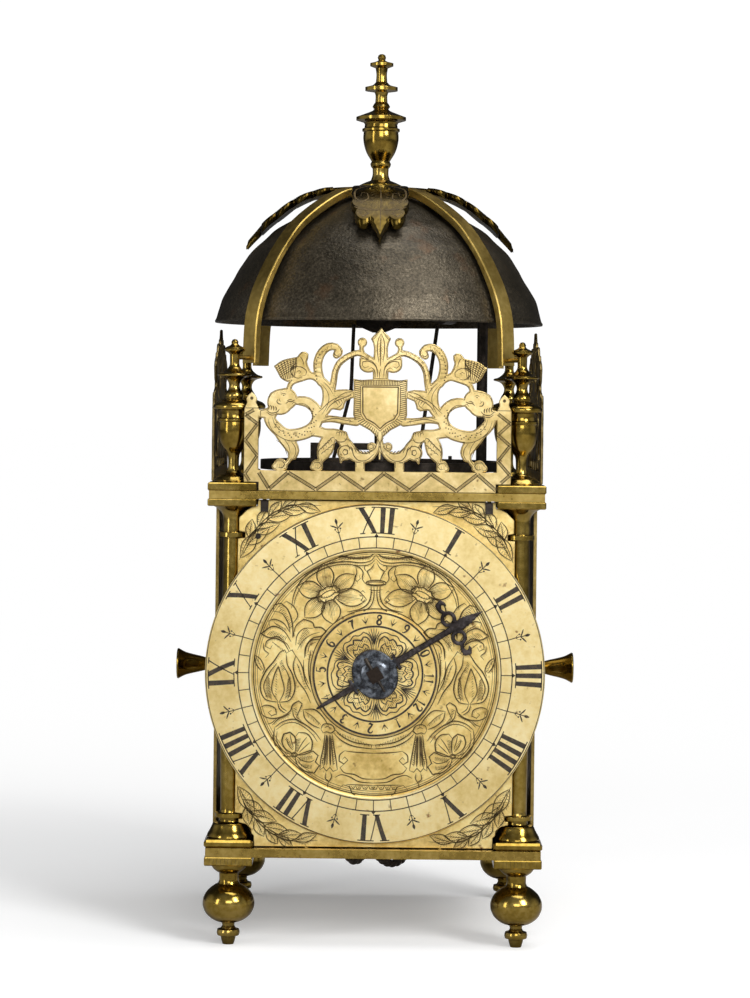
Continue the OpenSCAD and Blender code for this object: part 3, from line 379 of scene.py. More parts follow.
def block(acc, x0, x1, y0, y1, z0, z1, b=0.35):
    """Box with chamfered edges."""
    xs, ys, zs = (x0, x1), (y0, y1), (z0, z1)
    V, F = [], []
    idx = {}
    for i in range(2):
        for j in range(2):
            for k in range(2):
                s = (1 if i == 0 else -1, 1 if j == 0 else -1, 1 if k == 0 else -1)
                for ax in range(3):
                    p = [xs[i], ys[j], zs[k]]
                    for o in range(3):
                        if o != ax:
                            p[o] += s[o]*b
                    idx[(i, j, k, ax)] = len(V)
                    V.append(p)
    def face(l):
        F.append(l)
    for ax in range(3):
        u, w = [o for o in range(3) if o != ax]
        for side in range(2):
            q = []
            for (a, c) in ((0, 0), (1, 0), (1, 1), (0, 1)):
                key = [0, 0, 0]
                key[ax], key[u], key[w] = side, a, c
                q.append(idx[(*key, ax)])
            face(q)
    for ax in range(3):
        u, w = [o for o in range(3) if o != ax]
        for a in range(2):
            for c in range(2):
                k0, k1 = [0, 0, 0], [0, 0, 0]
                k0[u] = k1[u] = a
                k0[w] = k1[w] = c
                k1[ax] = 1
                face([idx[(*k0, u)], idx[(*k0, w)], idx[(*k1, w)], idx[(*k1, u)]])
    for i in range(2):
        for j in range(2):
            for k in range(2):
                face([idx[(i, j, k, 0)], idx[(i, j, k, 1)], idx[(i, j, k, 2)]])
    V = np.array(V, float)
    c = V.mean(0)
    G = []
    for f in F:
        p = V[f]
        nrm = np.cross(p[1]-p[0], p[2]-p[0])
        G.append(f if np.dot(nrm, p.mean(0)-c) > 0 else f[::-1])
    acc.add(V, G)


def tube(acc, path, r, n=10, closed=False, caps=True, up=None):
    """Round bar along a 3-D path; r may be a number or one per point."""
    P = np.asarray(path, float)
    m = len(P)
    R = np.full(m, r, float) if np.isscalar(r) else np.asarray(r, float)
    T = np.zeros_like(P)
    for i in range(m):
        a = P[(i-1) % m] if (closed or i > 0) else P[i]
        b = P[(i+1) % m] if (closed or i < m-1) else P[i]
        T[i] = (b-a) / max(1e-9, np.linalg.norm(b-a))
    ref = np.array(up if up is not None else (0, 1, 0), float)
    rings = []
    for i in range(m):
        u = ref - T[i]*np.dot(ref, T[i])
        if np.linalg.norm(u) < 1e-3:
            u = np.array([1.0, 0, 0]) - T[i]*T[i][0]
        u /= np.linalg.norm(u)
        w = np.cross(T[i], u)
        for k in range(n):
            t = 2*math.pi*k/n
            rings.append(P[i] + R[i]*(math.cos(t)*u + math.sin(t)*w))
    F = []
    for i in range(m if closed else m-1):
        j = (i+1) % m
        for k in range(n):
            k2 = (k+1) % n
            F.append([i*n+k, i*n+k2, j*n+k2, j*n+k])
    if not closed and caps:
        F.append(list(range(n))[::-1])
        F.append([(m-1)*n+k for k in range(n)])
    acc.add(rings, F)


# ------------------------------------------------------------------ outlines from distance fields
def d_seg(P, a, b, ra, rb):
    a, b = np.array(a, float), np.array(b, float)
    ab = b-a
    t = np.clip(((P-a) @ ab) / max(1e-12, ab @ ab), 0, 1)
    return np.linalg.norm(P - (a + t[:, None]*ab), axis=1) - (ra + (rb-ra)*t)


def d_stem(P, pts, step=2.0):
    q = spline(pts, step, 60)
    d = np.full(len(P), 1e9)
    for i in range(len(q)-1):
        d = np.minimum(d, d_seg(P, q[i][:2], q[i+1][:2], q[i][2]/2, q[i+1][2]/2))
    return d


def d_disc(P, c, r):
    return np.linalg.norm(P - np.array(c, float), axis=1) - r


def d_poly(P, V):
    V = np.asarray(V, float)
    n = len(V)
    d = np.full(len(P), 1e9)
    inside = np.zeros(len(P), bool)
    for i in range(n):
        a, b = V[i], V[(i+1) % n]
        d = np.minimum(d, d_seg(P, a, b, 0, 0))
        cross = ((a[1] > P[:, 1]) != (b[1] > P[:, 1]))
        with np.errstate(divide="ignore", invalid="ignore"):
            xi = a[0] + (P[:, 1]-a[1]) * (b[0]-a[0]) / (b[1]-a[1])
        inside ^= cross & (P[:, 0] < xi)
    return np.where(inside, -d, d)


def smin(a, b, k):
    h = np.clip(0.5 + 0.5*(b-a)/k, 0, 1)
    return b*(1-h) + a*h - k*h*(1-h)


class Field:
    """A 2-D shape as a signed distance on a grid."""
    def __init__(self, x0, x1, y0, y1, h):
        self.x = np.arange(x0, x1+h, h)
        self.y = np.arange(y0, y1+h, h)
        self.h = h
        X, Y = np.meshgrid(self.x, self.y)
        self.P = np.stack([X.ravel(), Y.ravel()], 1)
        self.d = np.full(len(self.P), 50.0)

    def _near(self, box, pad):
        x0, x1, y0, y1 = box
        return (self.P[:, 0] > x0-pad) & (self.P[:, 0] < x1+pad) & (self.P[:, 1] > y0-pad) & (self.P[:, 1] < y1+pad)

    def add(self, fn, arg, k=0.5, **kw):
        q = np.asarray(arg[0] if fn is d_disc else arg, float).reshape(-1, 2 if fn is not d_stem else 3)
        pad = 4 + (arg[1] if fn is d_disc else (q[:, 2].max() if fn is d_stem else 0))
        m = self._near((q[:, 0].min(), q[:, 0].max(), q[:, 1].min(), q[:, 1].max()), pad)
        sub = fn(self.P[m], *arg) if fn is d_disc else fn(self.P[m], arg, **kw)
        self.d[m] = smin(self.d[m], sub, k) if k else np.minimum(self.d[m], sub)

    def cut(self, fn, arg):
        sub = fn(self.P, *arg) if fn is d_disc else fn(self.P, arg)
        self.d = np.maximum(self.d, -sub)

    def at(self, p):
        p = np.asarray(p, float)
        nx = len(self.x)
        fx = np.clip((p[:, 0]-self.x[0])/self.h, 0, nx-1.001)
        fy = np.clip((p[:, 1]-self.y[0])/self.h, 0, len(self.y)-1.001)
        i, j = fx.astype(int), fy.astype(int)
        u, v = fx-i, fy-j
        D = self.d.reshape(len(self.y), nx)
        return (D[j, i]*(1-u)*(1-v) + D[j, i+1]*u*(1-v) + D[j+1, i]*(1-u)*v + D[j+1, i+1]*u*v)

    def contours(self, level=0.0, tol=0.03, min_len=1.5):
        nx, ny = len(self.x), len(self.y)
        D = self.d.reshape(ny, nx) - level
        D = np.where(np.abs(D) < 1e-7, 1e-7, D)
        S = D < 0
        cells = np.argwhere(~((S[:-1, :-1] == S[1:, :-1]) & (S[:-1, :-1] == S[:-1, 1:]) & (S[:-1, :-1] == S[1:, 1:])))
        nxt, pos = {}, {}

        def edge(j, i, horiz):
            key = (j, i, horiz)
            if key not in pos:
                if horiz:
                    a, b = D[j, i], D[j, i+1]
                    pos[key] = (self.x[i] + self.h*a/(a-b), self.y[j])
                else:
                    a, b = D[j, i], D[j+1, i]
                    pos[key] = (self.x[i], self.y[j] + self.h*a/(a-b))
            return key
        for j, i in cells:
            j, i = int(j), int(i)
            c = [S[j, i], S[j, i+1], S[j+1, i+1], S[j+1, i]]
            e = [(j, i, 1), (j, i+1, 0), (j+1, i, 1), (j, i, 0)]
            # walking round the cell: from inside to outside opens, outside to inside closes
            ins, outs = [], []
            for k in range(4):
                a, b = c[k], c[(k+1) % 4]
                if a and not b:
                    outs.append(k)
                elif b and not a:
                    ins.append(k)
            for o in outs:
                # the matching entry is the one met walking backwards over inside corners
                k = (o-1) % 4
                while k not in ins:
                    k = (k-1) % 4
                ka, kb = edge(*e[k]), edge(*e[o])
                nxt[kb] = ka
        loops, seen = [], set()
        for s in list(nxt):
            if s in seen:
                continue
            loop, k = [], s
            while k not in seen and k in nxt:
                seen.add(k)
                loop.append(pos[k])
                k = nxt[k]
            if len(loop) > 5:
                L = np.array(loop)
                per = np.linalg.norm(np.roll(L, -1, 0)-L, axis=1).sum()
                if per > min_len:
                    loops.append(simplify(L, tol))
        return loops


def simplify(L, tol):
    """Drops points of a closed loop that lie on the line of their neighbours."""
    keep = np.ones(len(L), bool)
    for _ in range(3):
        idx = np.flatnonzero(keep)
        if len(idx) < 8:
            break
        Q = L[idx]
        a, b = np.roll(Q, 1, 0), np.roll(Q, -1, 0)
        ab = b-a
        l = np.linalg.norm(ab, axis=1)
        dist = np.abs(ab[:, 0]*(Q[:, 1]-a[:, 1]) - ab[:, 1]*(Q[:, 0]-a[:, 0])) / np.maximum(l, 1e-9)
        drop = (dist < tol) & (l < 3.0)
        drop[1::2] = False
        if _ == 1:
            drop = np.roll((dist < tol) & (l < 3.0), 0)
            drop[0::2] = False
        keep[idx[drop]] = False
    Q = L[keep]
    g = np.linalg.norm(np.roll(Q, -1, 0)-Q, axis=1) > 0.02
    return Q[g]


def plate(acc, field, place, bevel=0.35, inner=None, tol=0.03, back_bevel=True):
    """Solid plate from a field. place(xy, t) gives the 3-D point; t is 0 at the back and 1 at the front, and
    the bevel is the part of the thickness that the front edge is chamfered by."""
    lo = field.contours(0.0, tol)
    li = field.contours(-bevel, tol)
    pts, edges, kind = [], [], []
    for kk, loops in ((0, lo), (1, li)):
        for L in loops:
            o = len(pts)
            n = len(L)
            for p in L:
                pts.append(Vector((float(p[0]), float(p[1]))))
                kind.append(kk)
            edges += [(o+i, o+(i+1) % n) for i in range(n)]
    if inner is not None:
        g = np.asarray(inner, float)
        g = g[field.at(g) < -bevel-0.25]
        for p in g:
            pts.append(Vector((float(p[0]), float(p[1]))))
            kind.append(1)
    V, E, F, ov, oe, of = delaunay_2d_cdt(pts, edges, [], 0, 1e-5)
    V = np.array([[v[0], v[1]] for v in V])
    kd = np.array([max([kind[i] for i in o]) if len(o) else 1 for o in ov])
    only0 = np.array([len(o) > 0 and all(kind[i] == 0 for i in o) for o in ov])
    F = [f for f in F if len(f) == 3]
    C = np.array([V[list(f)].mean(0) for f in F])
    ins = field.at(C) < 0
    F = [f for f, k in zip(F, ins) if k]
    used = sorted({i for f in F for i in f})
    m = {i: k for k, i in enumerate(used)}
    V, only0 = V[used], only0[used]
    F = [[m[i] for i in f] for f in F]
    G = []
    for f in F:
        a, b, c = V[f[0]], V[f[1]], V[f[2]]
        G.append(f if (b[0]-a[0])*(c[1]-a[1]) - (b[1]-a[1])*(c[0]-a[0]) > 0 else f[::-1])
    front = place(V, np.where(only0, 0.72, 1.0))
    back = place(V, np.where(only0, 0.28 if back_bevel else 0.0, 0.0))
    n = len(V)
    faces = [list(f) for f in G] + [[i+n for i in f[::-1]] for f in G]
    cnt = {}
    for f in G:
        for a, b in ((f[0], f[1]), (f[1], f[2]), (f[2], f[0])):
            cnt[(a, b)] = 1
    for (a, b) in list(cnt):
        if (b, a) not in cnt:
            faces.append([b, a, a+n, b+n])
    acc.add(np.vstack([front, back]), faces)


# ------------------------------------------------------------------ engraved lines
def ribbon(acc, pts, w, place, taper=True, step=0.9, corner=60, both=True):
    """A graver's cut: a flat tapered ribbon through 2-D points, put on a surface by place(xy)."""
    q = spline(pts, step, corner)
    n = len(q)
    if n < 2:
        return
    d = np.zeros_like(q)
    d[1:-1] = q[2:]-q[:-2]
    d[0], d[-1] = q[1]-q[0], q[-1]-q[-2]
    d /= np.maximum(1e-9, np.linalg.norm(d, axis=1))[:, None]
    t = np.linspace(0, 1, n)
    if taper:
        ww = w*(0.28 + 0.72*np.sin(math.pi*np.clip(t, 0, 1))**0.6) if both else w*(1-0.78*t)
    else:
        ww = np.full(n, w)
    nrm = np.stack([-d[:, 1], d[:, 0]], 1)
    L, R = q + nrm*ww[:, None]/2, q - nrm*ww[:, None]/2
    V = place(np.vstack([L, R]))
    F = [[i+n, i+1+n, i+1, i] for i in range(n-1)]
    acc.add(V, F)


def ring_band(acc, r, w, place, c=(0, 0), n=180, a0=0, a1=360):
    full = abs(a1-a0) >= 360
    a = np.radians(np.linspace(a0, a1, n, endpoint=not full))
    A = np.stack([np.cos(a), np.sin(a)], 1)
    V = place(np.vstack([A*(r+w/2), A*(r-w/2)]) + np.array(c))
    m = len(a)
    F = [[i+m, (i+1) % m+m, (i+1) % m, i][::-1] for i in range(m if full else m-1)]
    acc.add(V, F)


def fill(acc, poly, place):
    V = place(np.asarray(poly, float))
    acc.add(V, [list(range(len(V)))])


def disc_fill(acc, c, r, place, n=12):
    a = np.linspace(0, 2*math.pi, n, endpoint=False)
    fill(acc, np.stack([c[0]+r*np.cos(a), c[1]+r*np.sin(a)], 1), place)


def flat(y):
    """2-D x,z points on a plane that faces the front."""
    return lambda q: np.stack([q[:, 0], np.full(len(q), y), q[:, 1]], 1)


# ------------------------------------------------------------------ camera, floor and light
def aim(o, target):
    o.rotation_euler = (Vector(target)-o.location).to_track_quat("-Z", "Y").to_euler()


cam_data = bpy.data.cameras.new("camera")
cam = bpy.data.objects.new("camera", cam_data)
bpy.context.scene.collection.objects.link(cam)
cam.location = (-0.0014, -1.402, 0.2464)
cam.rotation_euler = (math.radians(90), math.radians(-0.66), 0)
cam_data.sensor_fit = "VERTICAL"
cam_data.sensor_height = 36
cam_data.sensor_width = 36
cam_data.lens = 106.7
cam_data.shift_y = -0.0992
cam_data.shift_x = 0.0
cam_data.clip_start = 0.01
bpy.context.scene.camera = cam

fm, nt, b = nodes_of("floor_paper")
tc = nt.nodes.new("ShaderNodeTexCoord").outputs["Object"]
nt.links.new(ramp(nt, noise(nt, tc, 3.0, 2, 0.5), [(0.3, (0.90, 0.90, 0.90)), (0.7, (0.93, 0.93, 0.93))]), b.inputs["Base Color"])
b.inputs["Roughness"].default_value = 0.65
b.inputs["Specular IOR Level"].default_value = 0.2
# painted light: the paper glows white by emission away from a spot left of and behind the object, running out into the
# white of the studio sweep, so cast shadows show only near that spot
sp = nt.nodes.new("ShaderNodeSeparateXYZ")
nt.links.new(tc, sp.inputs[0])
dx = math_node(nt, "MULTIPLY", math_node(nt, "ADD", sp.outputs[0], 0.10), 0.85)
dy = math_node(nt, "ADD", sp.outputs[1], -0.10)
rr = math_node(nt, "SQRT", math_node(nt, "ADD", math_node(nt, "MULTIPLY", dx, dx), math_node(nt, "MULTIPLY", dy, dy)), 0.0)
fr = ramp(nt, math_node(nt, "MULTIPLY", rr, 0.5), [(0.04, (0, 0, 0)), (0.11, (0.28, 0.28, 0.28)), (0.19, (0.80, 0.80, 0.80)), (0.30, (0.98, 0.98, 0.98)), (0.45, (1, 1, 1))])
[n_ for n_ in nt.nodes if n_.type == "VALTORGB"][-1].color_ramp.interpolation = "B_SPLINE"
em = nt.nodes.new("ShaderNodeEmission")
em.inputs[0].default_value = (1, 1, 1, 1)
em.inputs[1].default_value = 1.0
ms = nt.nodes.new("ShaderNodeMixShader")
nt.links.new(fr, ms.inputs[0])
# painted light: a constant faint glow is added to the lit paper, lifting it towards white while its shadows stay grey
pe = nt.nodes.new("ShaderNodeEmission")
pe.inputs[0].default_value = (1, 1, 1, 1)
pe.inputs[1].default_value = 0.20
ad = nt.nodes.new("ShaderNodeAddShader")
nt.links.new(b.outputs[0], ad.inputs[0])
nt.links.new(pe.outputs[0], ad.inputs[1])
nt.links.new(ad.outputs[0], ms.inputs[1])
nt.links.new(em.outputs[0], ms.inputs[2])
tab = nt.nodes.new("ShaderNodeBsdfDiffuse")
tab.inputs[0].default_value = (0.46, 0.455, 0.45, 1)
mf = nt.nodes.new("ShaderNodeMixShader")
nt.links.new(nt.nodes.new("ShaderNodeLightPath").outputs["Is Camera Ray"], mf.inputs[0])
nt.links.new(tab.outputs[0], mf.inputs[1])
nt.links.new(ms.outputs[0], mf.inputs[2])
nt.links.new(mf.outputs[0], [n_ for n_ in nt.nodes if n_.type == "OUTPUT_MATERIAL"][0].inputs[0])
fa = Acc()
g = [(-9000, -2300), (9000, -2300), (9000, 22000), (-9000, 22000)]
fa.add([(x, y, 0) for x, y in g], [[0, 1, 2, 3]])
me = bpy.data.meshes.new("floor")
me.from_pydata((np.vstack(fa.v)*0.001).tolist(), [], fa.f)
me.materials.append(fm)
floor = bpy.data.objects.new("floor", me)
bpy.context.scene.collection.objects.link(floor)


def area(name, loc, target, sx, sy, power, col=(1, 1, 1)):
    l = bpy.data.lights.new(name, "AREA")
    l.shape = "RECTANGLE"
    l.size, l.size_y, l.energy, l.color = sx, sy, power, col
    o = bpy.data.objects.new(name, l)
    bpy.context.scene.collection.objects.link(o)
    o.location = loc
    aim(o, target)
    return o


area("key_right", (0.95, -1.30, 1.10), (0, 0, 0.16), 0.55, 0.8, 24.5)
area("fill_left", (-1.15, -0.95, 0.45), (0, 0, 0.2), 0.22, 0.9, 3.8)
area("top", (0.25, -0.1, 1.6), (0, 0, 0.1), 1.0, 1.0, 12.5)
area("front", (0.1, -2.1, 0.85), (0, 0, 0.16), 0.9, 0.7, 11.2)

w = bpy.data.worlds.new("studio")
bpy.context.scene.world = w
w.use_nodes = True
wt = w.node_tree
wt.nodes.clear()
wo = wt.nodes.new("ShaderNodeOutputWorld")
bg_cam = wt.nodes.new("ShaderNodeBackground")
bg_env = wt.nodes.new("ShaderNodeBackground")
mx = wt.nodes.new("ShaderNodeMixShader")
lp = wt.nodes.new("ShaderNodeLightPath")
bg_cam.inputs[0].default_value = (1, 1, 1, 1)
bg_cam.inputs[1].default_value = 1.05
bg_env.inputs[0].default_value = (0.93, 0.96, 1.0, 1)
bg_env.inputs[1].default_value = 1.0
# grey studio in front of the object, darker behind and beside it
tw = wt.nodes.new("ShaderNodeTexCoord").outputs["Generated"]
sw = wt.nodes.new("ShaderNodeSeparateXYZ")
wt.links.new(tw, sw.inputs[0])
fw = ramp(wt, math_node(wt, "MULTIPLY_ADD", sw.outputs[1], -0.5, 0.5), [(0.30, (0.035, 0.035, 0.035)), (0.62, (0.12, 0.12, 0.12)), (0.90, (0.42, 0.42, 0.42))])
sd = ramp(wt, math_node(wt, "ABSOLUTE", sw.outputs[0], 0.0), [(0.74, (0, 0, 0)), (0.97, (0.55, 0.55, 0.55))])
wt.links.new(mix_col(wt, 1.0, mix_col(wt, 1.0, fw, sd, "LIGHTEN"), (0.95, 0.97, 1.0), "MULTIPLY"), bg_env.inputs[0])
wt.links.new(lp.outputs["Is Camera Ray"], mx.inputs[0])
wt.links.new(bg_env.outputs[0], mx.inputs[1])
wt.links.new(bg_cam.outputs[0], mx.inputs[2])
wt.links.new(mx.outputs[0], wo.inputs[0])
bpy.context.scene.view_settings.view_transform = "Standard"
bpy.context.scene.view_settings.look = "None"
bpy.context.scene.view_settings.exposure = 0.0

# ------------------------------------------------------------------ materials of carried-over CAD nodes
NODE_MAT = {
    "bottom_plate": "plate", "top_plate": "plate", "bell_nut": "iron", "fret_screws": "iron", "dial_latches": "iron",
    "back_plate": "iron", "front_bar": "iron", "centre_bar": "iron", "rear_bar": "iron", "bar_wedges": "iron",
    "balance_cock": "iron", "verge_potence": "iron", "crown_potence": "iron", "hammer_spring": "steel", "check_wires": "iron",
    "great_wheel": "wheel", "great_arbor": "steel", "going_pulley": "wheel", "second_wheel": "wheel", "second_arbor": "steel",
    "crown_wheel": "wheel", "crown_arbor": "steel", "balance_wheel": "iron", "verge": "steel", "hour_wheel": "pipe",
    "hand_collet": "blued", "hand_pin": "blued", "strike_great_wheel": "wheel", "strike_arbor": "steel", "strike_pulley": "wheel",
    "hoop_wheel": "wheel", "hoop_arbor": "steel", "fly": "wheel", "fly_arbor": "steel", "count_wheel": "wheel",
    "strike_hammer": "iron", "locking_detent": "steel", "lifting_piece": "steel", "alarm_detent": "steel", "alarm_wheel": "wheel",
    "alarm_hammer": "iron", "left_door": "door", "right_door": "door",
    "pillars": "cast", "ball_feet": "cast", "corner_finials": "cast", "centre_finial": "cast", "bell": "bell", "bell_strap": "strap",
    "bell_crests": "crest", "front_fret": "fret", "side_frets": "fretside", "dial_plate": "dial", "chapter_ring": "ring",
    "clock_hand": "blued", "alarm_disc": "dial", "left_knob": "cast", "right_knob": "cast", "going_rope": "rope", "strike_rope": "rope",
}
for n, k in NODE_MAT.items():
    o = N[n]
    o.data.materials.clear()
    o.data.materials.append(M[k])

# ------------------------------------------------------------------ turned and cast brass
CORNERS = [(65, 65), (-65, 65), (-65, -65), (65, -65)]

acc = Acc()
for c in CORNERS:
    lathe(acc, [(0, 48.2), (9.9, 48.2), (10.2, 49.0), (9.8, 50.1), (8.9, 51.6), (8.1, 53.2), (7.6, 54.4), (7.2, 54.9), (5.2, 55.2), (4.8, 55.8), (4.8, 57.5), (6.6, 57.5), (6.6, 59.3), (4.5, 59.6), (4.2, 61), (4.7, 110), (4.4, 150), (4.2, 183.8), (6.4, 184), (6.4, 186), (4.5, 186.3), (4.4, 193), (5, 194.6), (6.6, 196.4), (9.4, 198.1), (0, 198.1)], c, 64, 1.0, 38)
    block(acc, c[0]-11, c[0]+11, c[1]-11, c[1]+11, 44.5, 48.25, 1.1)
    block(acc, c[0]-11, c[0]+11, c[1]-11, c[1]+11, 198.05, 201.4, 0.5)
    lathe(acc, [(0, 30.5), (2.6, 30.5), (2.6, 44.6), (0, 44.6)], c, 24)
    lathe(acc, [(0, 201.3), (2.6, 201.3), (2.6, 212), (0, 212)], c, 24)
make(acc, "turned_pillars", "cast", "frame", "pillars")

acc = Acc()
for c in CORNERS:
    lathe(acc, [(0, 0), (2.5, 0), (2.6, 0.3), (3.1, 2), (3.4, 3.5), (4.9, 4), (5.2, 5.3), (4.9, 6.7), (3.4, 7.2), (2.7, 8.4), (3, 9.7), (6.6, 10.9), (9.8, 13.4), (11.4, 16.4), (11.7, 18.6), (11.4, 20.9), (9.8, 23.8), (6.8, 26.4), (4.9, 27.4), (4.4, 28.8), (4.4, 32.2), (5.6, 32.8), (7.2, 34.2), (8.7, 36.65), (0, 36.65)], c, 72, 0.7, 34)
    block(acc, c[0]-10.8, c[0]+10.8, c[1]-10.8, c[1]+10.8, 36.6, 40.5, 0.4)
make(acc, "turned_feet", "cast", "frame", "ball_feet")
# row of punched strokes on the outer faces of the foot plinths
acc = Acc()
for cx, cy in CORNERS:
    for k in range(11):
        u = -8.4 + 1.68*k + 0.12*math.sin(k*2.1)
        for ax in (0, 1):
            sg = 1 if (cy if ax == 0 else cx) > 0 else -1
            if ax == 0:
                ribbon(acc, [(cx+u*-sg, 37.3), (cx+u*-sg+0.1, 39.8)], 0.42, lambda q, sg=sg, cy=cy: np.stack([q[:, 0], np.full(len(q), cy+sg*10.83), q[:, 1]], 1))
            else:
                ribbon(acc, [(cy+u*sg, 37.3), (cy+u*sg+0.1, 39.8)], 0.42, lambda q, sg=sg, cx=cx: np.stack([np.full(len(q), cx+sg*10.83), q[:, 0], q[:, 1]], 1))
make(acc, "foot_plinth_marks", "cut", "frame", smooth=False)

FIN = [(0, 208.5), (8.6, 208.5), (8.8, 209.6), (7.8, 210.6), (6.9, 211.5), (4.6, 212.3), (3.4, 213.1), (2.6, 214.8), (2.45, 217.8), (2.7, 221), (3.4, 222.4), (5, 224.4), (6.4, 227.4), (7.1, 231), (7.15, 234), (7.0, 235.8), (7.45, 236.2), (7.45, 237.2), (6.6, 237.6), (6.3, 239), (6.5, 241), (9.1, 241.6), (9.4, 242.4), (9.2, 243.3), (8.2, 244.4), (6, 245.4), (3.9, 246.1), (4.25, 247.4), (3.9, 248.8), (2.9, 250.3), (2.45, 252), (2.7, 253.6), (3.8, 255.2), (5.4, 256.1), (7.5, 256.6), (7.8, 257.1), (7.5, 257.6), (5.4, 258.2), (4.1, 259.1), (3.0, 260.1), (2.25, 261.6), (2.2, 264), (2.25, 266.3), (3.0, 267.1), (4.4, 267.8), (4.8, 268.5), (4.4, 269.3), (3.2, 269.9), (2.1, 270.4), (1.5, 271.1), (1.6, 272.0), (1.0, 273.0), (0, 273.3)]
acc = Acc()
for c in CORNERS:
    lathe(acc, FIN, c, 64, 0.8, 36)
    block(acc, c[0]-11, c[0]+11, c[1]-11, c[1]+11, 205, 208.6, 0.45)
make(acc, "turned_finials", "cast", "frame", "corner_finials")

acc = Acc()
lathe(acc, [(0, 347.3), (9.7, 347.3), (9.7, 348.2), (7.6, 349.2), (4.6, 350.4), (3.8, 353), (3.8, 356), (4.6, 357), (4.9, 358.3), (4.3, 359.4), (4.8, 360.2), (6.8, 363.6), (8, 367.4), (8.4, 370.6), (8.2, 373.3), (8.9, 373.7), (8.9, 374.8), (7.9, 375.3), (7.7, 376.8), (8.2, 377.8), (11.8, 378.9), (11.8, 380.4), (8.6, 381.6), (4.2, 383.4), (3.4, 384.2), (4.2, 385.3), (3.6, 386.5), (2.9, 387.4), (2.8, 390.6), (3.3, 392.2), (7.7, 392.9), (7.7, 394.6), (4.2, 395.6), (2.7, 397), (2.5, 400.6), (2.9, 403.6), (5.5, 404.6), (5.5, 406), (2.6, 406.8), (1.6, 407.4), (2, 408.6), (1.6, 409.8), (0.7, 410.3), (0, 410.3)], (0, 0), 80, 0.7, 34)
lathe(acc, [(0, 334), (2.5, 334), (2.5, 347.4), (0, 347.4)], (0, 0), 24)
make(acc, "turned_centre_finial", "cast", "frame", "centre_finial")

for s, nm in ((1, "right"), (-1, "left")):
    acc = Acc()
    lo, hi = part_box(nm + "_knob")
    c = ((lo + hi) / 2) * 1000
    x0, x1 = (lo.x*1000, hi.x*1000) if s > 0 else (-hi.x*1000, -lo.x*1000)
    R = (hi.z-lo.z)*500
    lathe(acc, [(0, x0), (1.5, x0), (1.5, x0+2.2), (3.3, x0+2.4), (3.5, x0+3.2), (2.7, x0+3.8), (2.5, x0+5), (3.4, x0+8.5), (5.2, x1-4.2), (R-0.35, x1-1.2), (R, x1-0.7), (R-0.2, x1-0.15), (R-0.7, x1), (0, x1)], (0, 0, 0), 48, 0.8, 34, False, "x")
    v = np.vstack(acc.v)
    if s < 0:
        v[:, 0] *= -1
        acc.f = [tuple(f[::-1]) for f in acc.f]
    v[:, 1] += c.y
    v[:, 2] += c.z
    acc.v = [v]
    make(acc, nm + "_door_knob", "cast", nm + "_side_door", nm + "_knob")

# ------------------------------------------------------------------ bell
acc = Acc()
lathe(acc, [(2.6, 343), (8, 343), (15, 342), (30, 337), (42.4, 330.4), (50, 325.8), (54.3, 321.7), (60.4, 316.2), (65.2, 309.2), (69, 302.6), (74, 294), (77.0, 284.4), (77.6, 283.1), (77.4, 282.2), (76.6, 282.2), (74.6, 282.3), (74, 284), (70.6, 293.4), (65.8, 301.4), (62.2, 307.6), (57.6, 314), (51.8, 319.2), (47.8, 322.6), (40.8, 327.2), (29, 333.4), (14.4, 338.2), (9, 339.6), (2.6, 339.6)], (0, 0), 160, 1.6, 60, True)
v = acc.v[0]
rr = np.hypot(v[:, 0], v[:, 1])
an = np.arctan2(v[:, 1], v[:, 0])
wob = 0.11*np.sin(5*an + v[:, 2]*0.21) + 0.08*np.sin(11*an - v[:, 2]*0.35 + 1.3) + 0.05*np.sin(23*an + v[:, 2]*0.9)
k = np.clip((rr-20)/20, 0, 1) * np.where(v[:, 2] > 283.5, 1, 0)
v[:, 0] *= 1 - 0.001*k - wob*k/np.maximum(rr, 1)*0.9
v[:, 1] *= 1 - 0.001*k - wob*k/np.maximum(rr, 1)*0.9
make(acc, "bronze_bell", "bell", "frame", "bell", angle=60)

